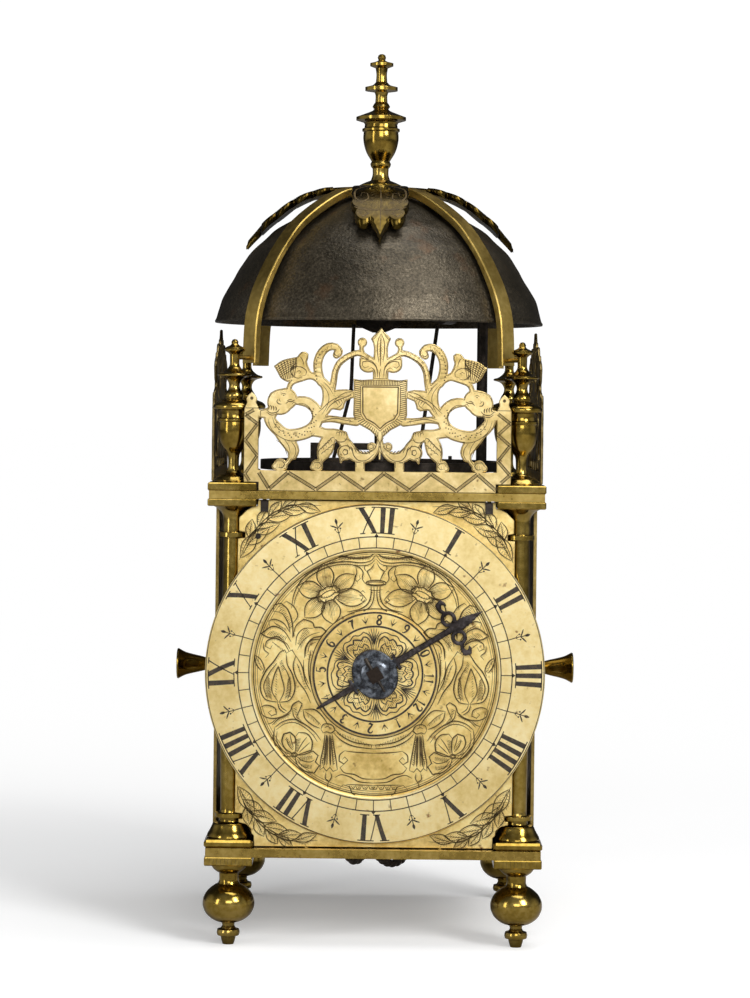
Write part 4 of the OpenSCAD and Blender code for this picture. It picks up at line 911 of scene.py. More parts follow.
# strap: four bent arms of rectangular bar on a round centre plate
acc = Acc()
out_l = spline([(9.5, 346.4), (27, 344.2), (52.5, 330), (65.8, 316.2), (74.8, 302.9), (80, 292.1), (82.7, 281.4), (83.7, 262.6)], 2.0, 60)
in_l = spline([(9.5, 343), (26, 340.6), (50.6, 327.2), (63.6, 314.6), (71.8, 301.8), (76.7, 291), (79.2, 281.2), (80.3, 262.6)], 2.0, 60)
nn = 40
def resample(q, n):
    s = np.r_[0, np.cumsum(np.linalg.norm(np.diff(q, axis=0), axis=1))]
    t = np.linspace(0, s[-1], n)
    return np.stack([np.interp(t, s, q[:, 0]), np.interp(t, s, q[:, 1])], 1)
out_l, in_l = resample(out_l, nn), resample(in_l, nn)
for i in range(4):
    a = math.radians(45+90*i)
    ca, sa = math.cos(a), math.sin(a)
    V, F = [], []
    bw = 0.45
    for (ro, zo), (ri, zi) in zip(out_l, in_l):
        d = np.array([ri-ro, zi-zo])
        d /= np.linalg.norm(d)
        for (rr_, zz_, t) in ((ro, zo, 4.25-bw), (ro+d[0]*bw, zo+d[1]*bw, 4.25), (ri-d[0]*bw, zi-d[1]*bw, 4.25), (ri, zi, 4.25-bw), (ri, zi, -4.25+bw), (ri-d[0]*bw, zi-d[1]*bw, -4.25), (ro+d[0]*bw, zo+d[1]*bw, -4.25), (ro, zo, -4.25+bw)):
            V.append((rr_*ca - t*sa, rr_*sa + t*ca, zz_))
    for j in range(nn-1):
        for k in range(8):
            k2 = (k+1) % 8
            F.append([j*8+k, (j+1)*8+k, (j+1)*8+k2, j*8+k2])
    F.append(list(range(8)))
    F.append([(nn-1)*8+k for k in range(8)][::-1])
    F = [f[::-1] for f in F]
    acc.add(V, F)
    p0, p1 = np.array([82*ca, 82*sa, 265]), np.array([92.2*ca, 92.2*sa, 265])
    tube(acc, [p0, p1-(p1-p0)*0.03, p1], [1.0, 1.0, 0.7], 16, up=(0, 0, 1))
lathe(acc, [(2.6, 343), (9.4, 343), (9.5, 343.2), (9.5, 346.2), (9.3, 346.4), (2.6, 346.4)], (0, 0), 64, 1, 30, True)
make(acc, "bell_strap_arms", "strap", "frame", "bell_strap", angle=28)


# ------------------------------------------------------------------ pierced frets
def du(p):
    return ((p[0]-768)*0.0907, 291.4-p[1]*0.0907)


def dus(pts):
    return [(*du(p), p[2]*0.0907) if len(p) > 2 else du(p) for p in pts]


FRET = Field(-62, 62, 203, 281, 0.22)
STEMS = [
    [[232, 560, 60], [222, 596, 58], [246, 632, 62], [300, 672, 62], [372, 670, 64], [432, 642, 64], [458, 592, 56], [448, 545, 54], [410, 512, 52], [368, 504, 46], [344, 508, 32]],
    [[286, 672, 70], [318, 712, 72], [340, 750, 60], [338, 776, 46]],
    [[330, 764, 26], [322, 796, 22], [298, 822, 26]],
    [[318, 470, 26], [316, 440, 26], [330, 414, 28], [372, 394, 34], [424, 380, 36], [468, 400, 42], [498, 430, 52], [512, 466, 62], [506, 524, 60], [474, 580, 46]],
    [[474, 410, 44], [459, 360, 45], [457, 311, 45], [475, 264, 43], [508, 236, 40], [544, 236, 36], [566, 256, 28]],
    [[520, 474, 44], [536, 406, 34], [543, 359, 32], [561, 318, 32], [592, 290, 32], [624, 273, 30], [656, 264, 30], [692, 280, 28], [730, 302, 28]],
    [[676, 218, 26], [672, 244, 22], [678, 270, 26]],
    [[462, 596, 42], [524, 592, 34], [590, 601, 36], [650, 605, 44]],
    [[436, 650, 60], [500, 664, 50], [556, 668, 52], [590, 702, 60], [618, 746, 68], [664, 780, 60], [714, 778, 50], [750, 742, 34], [768, 694, 22]],
    [[530, 676, 54], [510, 706, 76], [498, 742, 82], [486, 772, 58], [478, 796, 32], [470, 816, 26]],
    [[580, 784, 30], [576, 806, 12]],
]
BLOBS = [(272, 512, 64), (302, 496, 55), (278, 496, 50), (556, 266, 22), (548, 276, 18), (676, 212, 24), (276, 822, 33), (250, 830, 17), (458, 822, 30), (438, 832, 15), (474, 834, 14), (596, 757, 40), (578, 682, 34), (552, 672, 28), (728, 728, 23), (300, 832, 14)]
for side in (0, 1):
    mir = (lambda p: [1536-p[0], *p[1:]]) if side else (lambda p: p)
    sh = 1.0
    for s in STEMS:
        FRET.add(d_stem, [(x+sh, z, w_) for x, z, w_ in dus([mir(p) for p in s])], k=0.35)
    for x, y, r in BLOBS:
        q = du(mir([x, y]))
        FRET.add(d_disc, ((q[0]+sh, q[1]), r*0.0907), k=0.3)
    th = [[239, 333], [249, 327], [262, 316], [282, 304], [305, 297], [354, 287], [366, 270], [378, 261], [396, 261], [410, 272], [409, 294], [403, 311], [410, 335], [421, 356], [440, 370], [432, 390], [400, 392], [380, 394], [350, 404], [306, 412], [288, 404], [272, 392], [258, 366], [247, 347]]
    FRET.add(d_poly, [(x+sh, z) for x, z in dus([mir(p) for p in th])], k=0.25)
    lf = [[500, 470], [530, 455], [553, 447], [600, 444], [640, 453], [642, 484], [618, 494], [600, 502], [592, 520], [588, 540], [570, 551], [537, 545], [500, 556], [476, 580], [470, 540]]
    FRET.add(d_poly, [(x+sh, z) for x, z in dus([mir(p) for p in lf])], k=0.3)
    fc = [[662, 288], [676, 284], [693, 289], [722, 296], [742, 306], [756, 322], [764, 350], [757, 396], [731, 396], [730, 372], [729, 357], [716, 361], [703, 362], [688, 359], [676, 352], [666, 342], [661, 326]]
    FRET.add(d_poly, [(x+sh, z) for x, z in dus([mir(p) for p in fc])], k=0.15)
    tab = [[646, 800], [696, 800], [696, 860], [646, 860]]
    FRET.add(d_poly, [(x+sh, z) for x, z in dus([mir(p) for p in tab])], k=0)
    lk = [[170, 552], [212, 540], [222, 596], [170, 590]]
    FRET.add(d_poly, [(x+sh, z) for x, z in dus([mir(p) for p in lk])], k=0.2)
    s = -1 if side else 1
    FRET.add(d_poly, [(s*53.4, 208.9), (s*60, 208.9), (s*60, 242.1), (s*53.4, 242.1)], k=0)
    FRET.add(d_poly, [(s*53.4, 242.0), (s*54.6, 244.6), (s*54.2, 246.4), (s*55.2, 248.2), (s*56.7, 249.4), (s*58.2, 248.2), (s*59.2, 246.4), (s*58.8, 244.6), (s*60, 242.0)], k=0)
    FRET.add(d_poly, [(s*50, 208.9), (s*56, 208.9), (s*56, 214.4), (s*50, 214.4)], k=0)
FRET.add(d_poly, [(-53.4, 205.05), (53.4, 205.05), (53.4, 214.4), (-53.4, 214.4)], k=0)
SHIELD = [du(p) for p in ([634, 392], [668, 398], [768, 391], [868, 398], [902, 392], [900, 480], [902, 572], [884, 612], [820, 646], [768, 694], [716, 646], [652, 612], [634, 572], [636, 480])]
FRET.add(d_poly, [(x+1, z) for x, z in SHIELD], k=0.15)
FRET.add(d_poly, [(x+1, z) for x, z in dus([[752, 660], [784, 660], [782, 700], [772, 720], [772, 790], [764, 790], [764, 720], [754, 700]])], k=0.4)
FRET.add(d_poly, [(x+1, z) for x, z in dus([[768, 137], [776, 146], [784, 158], [804, 176], [818, 193], [811, 206], [807, 216], [803, 234], [803, 262], [805, 290], [805, 350], [806, 396], [730, 396], [731, 350], [731, 290], [733, 262], [733, 234], [729, 216], [725, 206], [718, 193], [732, 176], [752, 158], [760, 146]])], k=0.3)


def fret_piece(name, place, mats, node, extra=None):
    a = Acc()
    plate(a, FRET, place, 0.3)
    if extra:
        extra(a)
    return make(a, name, mats, "frame", node, angle=25)


def lugs_front(a):
    for s in (-1, 1):
        block(a, s*25-3.6, s*25+3.6, -73.9, -63.8, 205, 206.3, 0.2)


def place_front(q, t):
    return np.stack([q[:, 0], -73.8 - 1.4*t, q[:, 1]], 1)


fret_piece("pierced_front_fret", place_front, "fret", "front_fret", lugs_front)


def side_both():
    a = Acc()
    for s in (1, -1):
        plate(a, FRET, lambda q, t, s=s: np.stack([s*(73.8 + 1.4*t), s*q[:, 0], q[:, 1]], 1), 0.3)
        for u in (-1, 1):
            x = sorted((s*67.4, s*73.9))
            block(a, x[0], x[1], u*25-3.6, u*25+3.6, 205, 206.3, 0.2)
    return make(a, "pierced_side_frets", "fretside", "frame", "side_frets", angle=25)


side_both()

# engraving of the frets
def fret_lines(acc, place):
    def P(p, side):
        q = du([1536-p[0], p[1]] if side else p)
        return (q[0]+1, q[1])
    L = lambda pts, w_, side, **k: ribbon(acc, [P(p, side) for p in pts], w_*1.2, place, **k)
    # a line that follows every sawn edge
    for loop in FRET.contours(-0.55, 0.02, 5.0):
        q = np.vstack([loop, loop[:1]])
        keep = (q[:, 1] > 215.0) & (np.abs(q[:, 0]) < 52.8)
        run = []
        for p, k_ in zip(q, keep):
            if k_:
                run.append(tuple(p))
            if (not k_ or p is q[-1]) and run:
                if len(run) > 5:
                    ribbon(acc, run, 0.25, place, taper=False, step=1.5, corner=75)
                run = []
        if len(run) > 5:
            ribbon(acc, run, 0.25, place, taper=False, step=1.5, corner=75)
    for side in (0, 1):
        # thistle: cap line, net
        for k in range(1, 8):
            t = k/8
            L([[244+t*118, 336-t*46-14*math.sin(math.pi*t)], [262+t*100, 366-t*30-18*t], [286+t*60, 404-t*16]], 0.3, side, taper=False)
        for k in range(1, 7):
            t = k/7
            L([[248+t*30, 334+t*62], [296+t*14, 304+t*70], [352+t*4, 290+t*52]], 0.3, side, taper=False)
        L([[352, 288], [346, 318], [332, 336], [322, 352], [330, 376], [354, 392], [380, 388]], 0.42, side)
        L([[322, 354], [344, 336], [376, 338], [400, 356], [398, 376], [374, 384]], 0.34, side)
        L([[352, 362], [364, 354], [374, 362], [364, 370]], 0.34, side)
        L([[366, 284], [380, 300], [388, 328]], 0.3, side)
        # curled hook: flutes across it and its eye
        for k, (x, y, a_) in enumerate(((460, 384, 8), (457, 362, 3), (456, 340, 0), (456, 318, -6), (461, 296, -16), (470, 276, -30), (484, 258, -46), (502, 246, -66), (522, 241, -86))):
            c_, s_ = math.cos(math.radians(a_)), math.sin(math.radians(a_))
            L([[x-15*c_, y-15*s_], [x+15*c_, y+15*s_]], 0.5, side)
            L([[x-13*c_+6*s_, y-13*s_-6*c_], [x+13*c_+6*s_, y+13*s_-6*c_]], 0.22, side)
        for x, y in ((452, 396), (449, 378), (447, 360), (447, 342), (448, 324), (451, 306), (457, 289), (466, 274), (478, 261)):
            disc_fill(acc, P([x, y], side), 0.36, place, 8)
        L([[544, 250], [536, 262], [542, 276], [556, 280], [564, 268]], 0.36, side)
        L([[566, 246], [574, 262], [566, 280]], 0.3, side)
        # inner stem: edge lines and ticks
        L([[530, 450], [543, 400], [548, 362], [566, 322], [596, 297], [630, 281], [664, 274], [700, 290]], 0.26, side)
        for k, (x, y, a_) in enumerate(((534, 436, 10), (537, 414, 10), (541, 392, 8), (543, 370, 12), (548, 348, 24), (557, 328, 36), (570, 311, 48), (586, 297, 58), (604, 286, 66), (624, 278, 72), (644, 272, 78))):
            c_, s_ = math.cos(math.radians(a_)), math.sin(math.radians(a_))
            L([[x-11*c_, y-11*s_], [x+9*c_, y+9*s_+4]], 0.3, side)
        L([[668, 200], [676, 196], [686, 204]], 0.3, side)
        # head: eye, brow, mouth, gill
        e = P([290, 478], side)
        disc_fill(acc, e, 0.34, place, 10)
        L([[278, 474], [290, 468], [302, 474]], 0.3, side)
        L([[262, 496], [256, 508], [264, 520], [280, 522]], 0.4, side)
        L([[272, 492], [268, 502], [276, 510]], 0.28, side)
        L([[300, 520], [314, 508], [330, 508], [346, 500]], 0.44, side)
        L([[306, 506], [320, 498], [332, 500]], 0.34, side)
        L([[330, 524], [338, 512], [350, 514]], 0.3, side)
        for k in range(6):
            L([[240+k*15, 470-abs(k-3)*-2-k*3], [246+k*15, 463-k*2]], 0.18, side)
        L([[214, 500], [224, 470], [250, 454]], 0.26, side)
        for k in range(4):
            L([[210+k*13, 524+k*3], [218+k*12, 534+k*3], [216+k*12, 550+k*2]], 0.46, side)
        L([[206, 552], [226, 566], [256, 562], [270, 546]], 0.4, side)
        L([[206, 562], [228, 576], [262, 572]], 0.34, side)
        # back: line along the body, scales as dots
        L([[214, 596], [228, 640], [262, 676], [310, 700], [360, 702], [420, 686], [446, 664]], 0.28, side)
        L([[236, 586], [246, 620], [276, 652], [300, 660]], 0.24, side)
        for k in range(34):
            t = k/33
            a_ = math.radians(196 + 200*t)
            r_ = 92 + 9*(k % 3)
            x, y = 344+r_*0.98*math.cos(a_), 590-r_*math.sin(a_)*0.86
            L([[x-3, y], [x+3, y+2]], 0.44, side, taper=False)
        L([[350, 520], [392, 520], [424, 546], [436, 588], [420, 628]], 0.24, side)
        L([[462, 560], [484, 540], [512, 512], [548, 490], [590, 478]], 0.34, side)
        # hind leg and paw
        L([[256, 700], [290, 724], [306, 760], [312, 778]], 0.3, side)
        L([[330, 706], [350, 736], [352, 766], [338, 792]], 0.3, side)
        L([[292, 690], [316, 726], [326, 762]], 0.24, side)
        L([[252, 818], [262, 802], [288, 804], [298, 820], [286, 836], [266, 834]], 0.36, side)
        for k in range(3):
            L([[262+k*12, 818], [260+k*12, 838]], 0.34, side)
        # front leg: mane of the thigh, paw
        for k in range(5):
            x, y = 472+k*13, 742-k*13
            L([[x-8, y+16], [x+2, y-2], [x+16, y-8], [x+20, y+4]], 0.36, side)
        for k in range(4):
            x, y = 478+k*15, 768-k*12
            L([[x, y], [x+10, y-12], [x+24, y-12]], 0.32, side)
        L([[474, 716], [462, 744], [468, 772]], 0.28, side)
        L([[482, 790], [478, 806], [462, 810]], 0.3, side)
        L([[438, 826], [446, 808], [468, 808], [480, 822], [468, 838], [452, 834]], 0.34, side)
        for k in range(2):
            L([[450+k*13, 820], [448+k*14, 840]], 0.32, side)
        # shoulder curl
        for k in range(4):
            L([[552+k*13, 668-k*2], [556+k*13, 656-k*1], [568+k*12, 660], [566+k*12, 676]], 0.34, side)
        L([[546, 694], [570, 706], [596, 700], [606, 680]], 0.34, side)
        # leaf scroll below
        L([[596, 786], [572, 778], [564, 754], [578, 730], [606, 724], [630, 744], [640, 772], [664, 796], [704, 794], [740, 762]], 0.38, side)
        L([[584, 756], [592, 742], [608, 746], [608, 764], [594, 770], [584, 756]], 0.5, side)
        L([[590, 690], [624, 700], [650, 734], [672, 758], [710, 760], [744, 730]], 0.3, side)
        for k in range(7):
            L([[606+k*16, 716+k*10-k*k*0.7], [616+k*16, 730+k*9-k*k*0.9], [618+k*17, 748+k*6-k*k*0.5]], 0.34, side)
        L([[572, 796], [580, 784], [592, 786]], 0.28, side)
        L([[716, 724], [722, 716], [734, 718], [736, 732], [724, 738], [716, 730]], 0.36, side)
        L([[752, 706], [748, 730], [728, 752]], 0.28, side)
        # leaves beside the shield
        L([[500, 556], [520, 526], [560, 498], [604, 480], [634, 462]], 0.36, side)
        L([[536, 508], [566, 478], [600, 460], [630, 458]], 0.3, side)
        L([[552, 540], [574, 524], [582, 506]], 0.28, side)
        for k in range(7):
            L([[540+k*13, 504-k*6], [552+k*12, 512-k*6], [560+k*9, 526-k*8]], 0.26, side)
        for k in range(6):
            L([[536+k*15, 476-k*3], [548+k*14, 482-k*4]], 0.26, side)
        L([[476, 606], [540, 590], [600, 598], [636, 606]], 0.34, side)
        L([[486, 590], [540, 578], [590, 586]], 0.22, side)
        L([[608, 590], [622, 600], [616, 612]], 0.28, side)
        # trunk lines
        L([[470, 414], [500, 448], [514, 486], [504, 530], [478, 574]], 0.24, side)
        L([[486, 410], [516, 440], [534, 470]], 0.22, side)
        # fleur: curls
        L([[752, 384], [750, 344], [734, 318], [706, 304], [680, 308], [676, 326], [690, 338], [708, 330]], 0.46, side)
        L([[742, 388], [738, 350], [722, 336], [706, 346]], 0.34, side)
        L([[668, 296], [690, 294], [724, 304], [748, 330]], 0.26, side)
        L([[726, 202], [736, 190], [752, 172]], 0.26, side)
        # shield border hatching and edge
        for k in range(21):
            y = 404 + k*9.5
            if y < 606:
                L([[640, y], [672, y-6]], 0.3, side, taper=False)
        for k in range(12):
            x = 676 + k*8
            L([[x, 398], [x+1, 424]], 0.3, side, taper=False)
        for k in range(10):
            L([[658+k*11, 604+k*8], [686+k*8, 590+k*7]], 0.3, side, taper=False)
        L([[768, 432], [678, 432], [680, 440], [682, 560], [700, 590], [740, 612], [768, 638]], 0.5, side, taper=False, corner=30)
        L([[768, 424], [670, 424], [672, 564], [692, 598], [736, 622], [768, 650]], 0.26, side, taper=False, corner=30)
    # fleur middle leaf
    L([[768, 330], [766, 250], [768, 172]], 0.44, 0)
    L([[768, 166], [754, 200], [750, 250], [758, 310]], 0.36, 0)
    L([[768, 166], [754, 200], [750, 250], [758, 310]], 0.36, 1)
    for k in range(8):
        for sd in (0, 1):
            L([[768, 196+k*13], [757, 208+k*13]], 0.3, sd)
    L([[768, 340], [762, 370], [764, 388]], 0.34, 0)
    L([[748, 684], [764, 700], [762, 740]], 0.34, 0)
    L([[748, 684], [764, 700], [762, 740]], 0.34, 1)
    # zigzag bands: two lines with hatching between them
    def zig(pts, half, lo_, hi_, ax, gap=0.52):
        pts = np.asarray(pts, float)
        for a_, b_ in zip(pts[:-1], pts[1:]):
            d_ = (b_-a_)/np.linalg.norm(b_-a_)
            n_ = np.array([-d_[1], d_[0]])*half
            for o in (-1, 1):
                e = np.array([a_+o*n_, b_+o*n_])
                e[:, ax] = np.clip(e[:, ax], lo_, hi_)
                ribbon(acc, e, 0.42, place, taper=False, corner=5, step=50)
            ln_ = np.linalg.norm(b_-a_)
            for t in np.arange(gap*0.7, ln_-gap*0.4, gap):
                e = np.array([a_+d_*(t-0.25)-n_*0.9, a_+d_*(t+0.25)+n_*0.9])
                e[:, ax] = np.clip(e[:, ax], lo_, hi_)
                ribbon(acc, e, 0.26, place, taper=False, corner=5, step=50)
    zig([(-53.2, 213.4), (-48.5, 206.0), (-40, 213.5), (-27.5, 206.0), (-17, 213.5), (-6, 206.0), (3, 213.5), (14.5, 206.0), (24, 213.5), (35.5, 206.0), (45, 213.5), (53.2, 206.4)], 0.66, 205.35, 214.1, 1)
    zig([(53.9, 240.7), (59.5, 236.4), (53.9, 231.3), (59.5, 226.5), (53.9, 219.5), (59.5, 213.3), (55.4, 209.6)], 0.6, 53.6, 59.8, 0)
    zig([(-55.6, 241.4), (-59.5, 239.2), (-53.9, 235.1), (-59.5, 227.8), (-53.9, 220.9), (-59.5, 212.7), (-57.4, 209.6)], 0.6, -59.8, -53.6, 0)
    for s in (-1, 1):
        disc_fill(acc, (s*56.7, 246.6), 0.75, place, 12)
        ribbon(acc, [(s*53.7, 242.2), (s*59.7, 242.2)], 0.3, place, taper=False)


acc = Acc()
fret_lines(acc, flat(-75.2-0.035))
make(acc, "front_fret_engraving", "cutfret", "frame", smooth=False)
acc = Acc()
for s in (1, -1):
    sub = Acc()
    fret_lines(sub, lambda q, s=s: np.stack([np.full(len(q), s*75.235), s*q[:, 0], q[:, 1]], 1))
    acc.add(np.vstack(sub.v), [f for f in sub.f])
make(acc, "side_fret_engraving", "cutfret", "frame", smooth=False)

# ------------------------------------------------------------------ crests on the bell
CR = Field(0, 68, -18, 18, 0.22)
CR.add(d_poly, [(6, -3.4), (26, -3.4), (26, 3.4), (6, 3.4)], k=0)
CR.add(d_poly, [(22, -10.2), (50.4, -10.2), (50.4, 10.2), (22, 10.2)], k=0.4)
for s in (-1, 1):
    for x, y, r in ((27.5, 9.2, 3.9), (36, 9.0, 4.3), (45, 9.0, 4.3), (52, 7.4, 4.2)):
        CR.add(d_disc, ((x, s*y), r), k=0.5)
CR.add(d_poly, [(50, -4.4), (56.4, -4.0), (58.4, -2.4), (60.6, -1.3), (63.4, 0), (60.6, 1.3), (58.4, 2.4), (56.4, 4.0), (50, 4.4)], k=0.3)
for s in (-1, 1):
    CR.cut(d_disc, ((56.2, s*3.9), 0.75))
    CR.cut(d_disc, ((32.0, s*4.4), 1.1))
top_l = spline([(0, 347.3), (12, 347.2), (24.7, 346.2), (35.2, 343.2), (42.8, 339.1), (49.3, 334.2), (54.8, 329.8), (59.1, 325), (62.4, 321.2), (63.6, 319.2)], 0.8, 80)
bot_l = spline([(0, 346.4), (10, 346.3), (12, 345.6), (24.4, 343.2), (34.4, 340.2), (41.2, 336.4), (47.3, 331.6), (52.6, 327.4), (56.8, 323), (61.4, 318), (63.8, 315)], 0.8, 80)


def crest_place(a_):
    ca, sa = math.cos(a_), math.sin(a_)

    def f(q, t):
        x, y = q[:, 0], q[:, 1]
        zt, zb = np.interp(x, top_l[:, 0], top_l[:, 1]), np.interp(x, bot_l[:, 0], bot_l[:, 1])
        z = zb + (zt-zb)*t
        return np.stack([x*ca - y*sa, x*sa + y*ca, z], 1)
    return f


acc = Acc()
gx, gy = np.meshgrid(np.arange(4, 64, 1.3), np.arange(-14, 14.1, 1.6))
inner = np.stack([gx.ravel(), gy.ravel()], 1)
for i in range(4):
    plate(acc, CR, crest_place(math.radians(90*i)), 0.4, inner=inner, tol=0.02)
lathe(acc, [(2.6, 346.4), (8.2, 346.4), (8.2, 347.3), (2.6, 347.3)], (0, 0), 48, 1, 30, True)
make(acc, "bell_crest_castings", "crest", "frame", "bell_crests", angle=30)
acc = Acc()
for i in range(4):
    pf = crest_place(math.radians(90*i))
    pl = lambda q, pf=pf: pf(q, np.full(len(q), 1.0)) + np.array([0, 0, 0.06])
    for s in (-1, 1):
        ribbon(acc, [(24, s*3), (29, s*7), (34, s*11), (42, s*11.6), (46, s*8.6), (43, s*5.6), (38.6, s*6), (38, s*8.4), (41, s*9)], 0.8, pl)
        ribbon(acc, [(23, s*5), (26, s*10), (30, s*9), (29, s*6)], 0.7, pl)
        ribbon(acc, [(48.6, s*12), (50.2, s*8), (50.6, s*0.2)], 0.9, pl)
        ribbon(acc, [(52, s*10.6), (54.6, s*8), (53, s*5.4), (50.8, s*7)], 0.7, pl)
        for k in range(6):
            ribbon(acc, [(44.6+k*0.5, s*(0.9+k*1.3)), (48.8+k*0.1, s*(1.1+k*1.6))], 0.5, pl)
        for k in range(4):
            ribbon(acc, [(33+k*2.6, s*1.6), (35.4+k*2.6, s*4.2)], 0.45, pl)
    ribbon(acc, [(28, 0), (44, 0.3), (60, 0)], 0.5, pl)
make(acc, "bell_crest_chasing", "cut", "frame", smooth=False)

# ------------------------------------------------------------------ ropes
def rope(route, y, name, node):
    q = spline([(x, z) for x, z in route], 1.0, 120, True)
    m = len(q)
    s = np.r_[0, np.cumsum(np.linalg.norm(np.roll(q, -1, 0)-q, axis=1))]
    total = s[-1]
    turns = round(total/7.6)
    K = 520
    t = np.linspace(0, total, K, endpoint=False)
    qx, qz = np.interp(t, s, np.r_[q[:, 0], q[0, 0]]), np.interp(t, s, np.r_[q[:, 1], q[0, 1]])
    c = np.stack([qx, qz], 1)
    d = np.roll(c, -1, 0)-np.roll(c, 1, 0)
    d /= np.linalg.norm(d, axis=1)[:, None]
    acc = Acc()
    for k in range(3):
        ph = 2*math.pi*(turns*t/total + k/3)
        off_n, off_b = 0.92*np.cos(ph), 0.92*np.sin(ph)
        P = np.stack([c[:, 0] - d[:, 1]*off_n, y + off_b, c[:, 1] + d[:, 0]*off_n], 1)
        tube(acc, P, 1.04, 8, closed=True)
    return make(acc, name, "rope", "frame", node, angle=80)


GO = [[0.5, 92.9], [-4.5, 91.9], [-8.5, 89], [-11, 84.5], [-11.4, 79], [-11.6, 72], [-11.8, 64], [-12, 56], [-12.2, 48], [-12.3, 41], [-12, 36.5], [-11, 33.8], [-9, 32.4], [-6.8, 32.8], [-5.1, 34.6], [-4.6, 38.5], [-4.3, 44], [-1.5, 51], [2.5, 58], [6.5, 65], [9.8, 72], [11.3, 78], [11.2, 84], [9, 88.6], [5.5, 91.6]]
ST = [[0.5, 99.4], [-4.5, 98.4], [-8.5, 95.5], [-11, 91], [-11.4, 85.5], [-10.6, 78], [-8.4, 70], [-6, 62], [-3.4, 54], [-1.4, 47], [-0.6, 41], [-0.4, 34], [0.6, 29], [3.2, 24.8], [7, 22.4], [10.6, 22.2], [14, 24], [16.6, 27.6], [17.6, 32], [17.9, 38], [17.7, 45], [16.9, 53], [15.4, 62], [13.4, 71], [11.8, 79], [11.3, 85], [11.1, 90.5], [9, 95.1], [5.5, 98.1]]
rope(GO, -28.5, "laid_going_rope", "going_rope")
rope(ST, 30.7, "laid_strike_rope", "strike_rope")

# ------------------------------------------------------------------ hand
HF = Field(-34, 60, -18, 18, 0.15)
HF.add(d_poly, [(10.0*math.cos(t), 11.6*math.sin(t)) for t in np.linspace(0, 2*math.pi, 60, endpoint=False)], k=0)
HF.add(d_stem, [(8, 0, 3.5), (16, 0, 3.0), (30, 0, 2.7), (44, 0, 2.9)], k=0.5)
HF.add(d_poly, [(10.4, -3.7), (12.0, -3.7), (12.0, 3.7), (10.4, 3.7)], k=0.25)
HF.add(d_poly, [(-12.0, -3.5), (-10.4, -3.5), (-10.4, 3.5), (-12.0, 3.5)], k=0.25)
HF.add(d_stem, [(-9, 0, 3.4), (-20, 0, 2.3), (-29, 0, 1.3), (-30.2, 0, 0.7)], k=0.4)
for s in (-1, 1):
    HF.add(d_stem, [(41.0 + 2.75*math.cos(t), s*4.75 + 2.75*math.sin(t), 1.75) for t in np.linspace(0, 2*math.pi, 14)], k=0.3)
    HF.add(d_stem, [(40.9, s*7.6, 1.6), (39.7, s*10.0, 1.8), (40.0, s*12.2, 2.6), (41.6, s*12.9, 2.2), (42.7, s*11.6, 1.4), (42.9, s*10.6, 0.7)], k=0.4)
leaf_e = [(42.6, 1.2), (43.4, 2.5), (44.6, 2.3), (45.3, 2.7), (46.4, 2.2), (47.2, 2.5), (48.2, 1.9), (49.0, 2.1), (50.1, 1.5), (50.9, 1.6), (52.0, 1.0), (52.9, 1.0), (54.4, 0.5), (56.3, 0.0)]
HF.add(d_poly, leaf_e + [(x, -y) for x, y in leaf_e[::-1][1:]], k=0.3)
ha = math.radians(HAND_A)
ch, sh_ = math.cos(ha), math.sin(ha)


def hand_place(q, t):
    x, y = q[:, 0], q[:, 1]
    return np.stack([x*ch - y*sh_, -73.8 - 1.4*t, DZ + x*sh_ + y*ch], 1)


acc = Acc()
plate(acc, HF, hand_place, 0.35, tol=0.015)
make(acc, "pierced_hand", "blued", "hour", "clock_hand", angle=25)
acc = Acc()
ua = np.array([-sh_, 0, ch])
cp = np.array([0, -78.0, DZ])
pt = [(-8.7, 0.42), (-8.5, 0.60), (-4, 0.72), (3, 0.86), (8.4, 0.95), (8.7, 0.75)]
tube(acc, [cp + ua*t for t, r_ in pt], [r_ for t, r_ in pt], 18, up=(0, 1, 0))
make(acc, "tapered_hand_pin", "iron", "hour", "hand_pin", angle=40)

# ------------------------------------------------------------------ chapter ring
def annulus(acc, prof, n=180):
    """Ring about the Y axis through the dial centre; prof is a closed (r, y) outline."""
    q = spline(prof, 1.0, 20, True)
    a = np.linspace(0, 2*math.pi, n, endpoint=False)
    V, F, m = [], [], len(q)
    for r, y in q:
        for t in a:
            V.append((r*math.cos(t), y, DZ + r*math.sin(t)))
    for i in range(m):
        j = (i+1) % m
        for k in range(n):
            k2 = (k+1) % n
            F.append([i*n+k, i*n+k2, j*n+k2, j*n+k])
    acc.add(V, F)


def pin(acc, x, z, y0, y1, r, n=20):
    tube(acc, [(x, y0, z), (x, y1, z)], r, n, up=(1, 0, 0))


acc = Acc()
annulus(acc, [(55.5, -70.5), (55.5, -72.0), (55.85, -72.3), (76.0, -72.3), (76.5, -71.9), (76.5, -70.5)])
for a in (45, 135, 225, 315):
    pin(acc, 66*math.cos(math.radians(a)), DZ+66*math.sin(math.radians(a)), -70.5, -66.4, 1.2)
make(acc, "chapter_ring_plate", "ring", "frame", "chapter_ring", angle=30)


def on_ring(y):
    return lambda q: np.stack([q[:, 0], np.full(len(q), y), DZ + q[:, 1]], 1)


RY = -72.335
R0, R1 = 63.4, 75.0


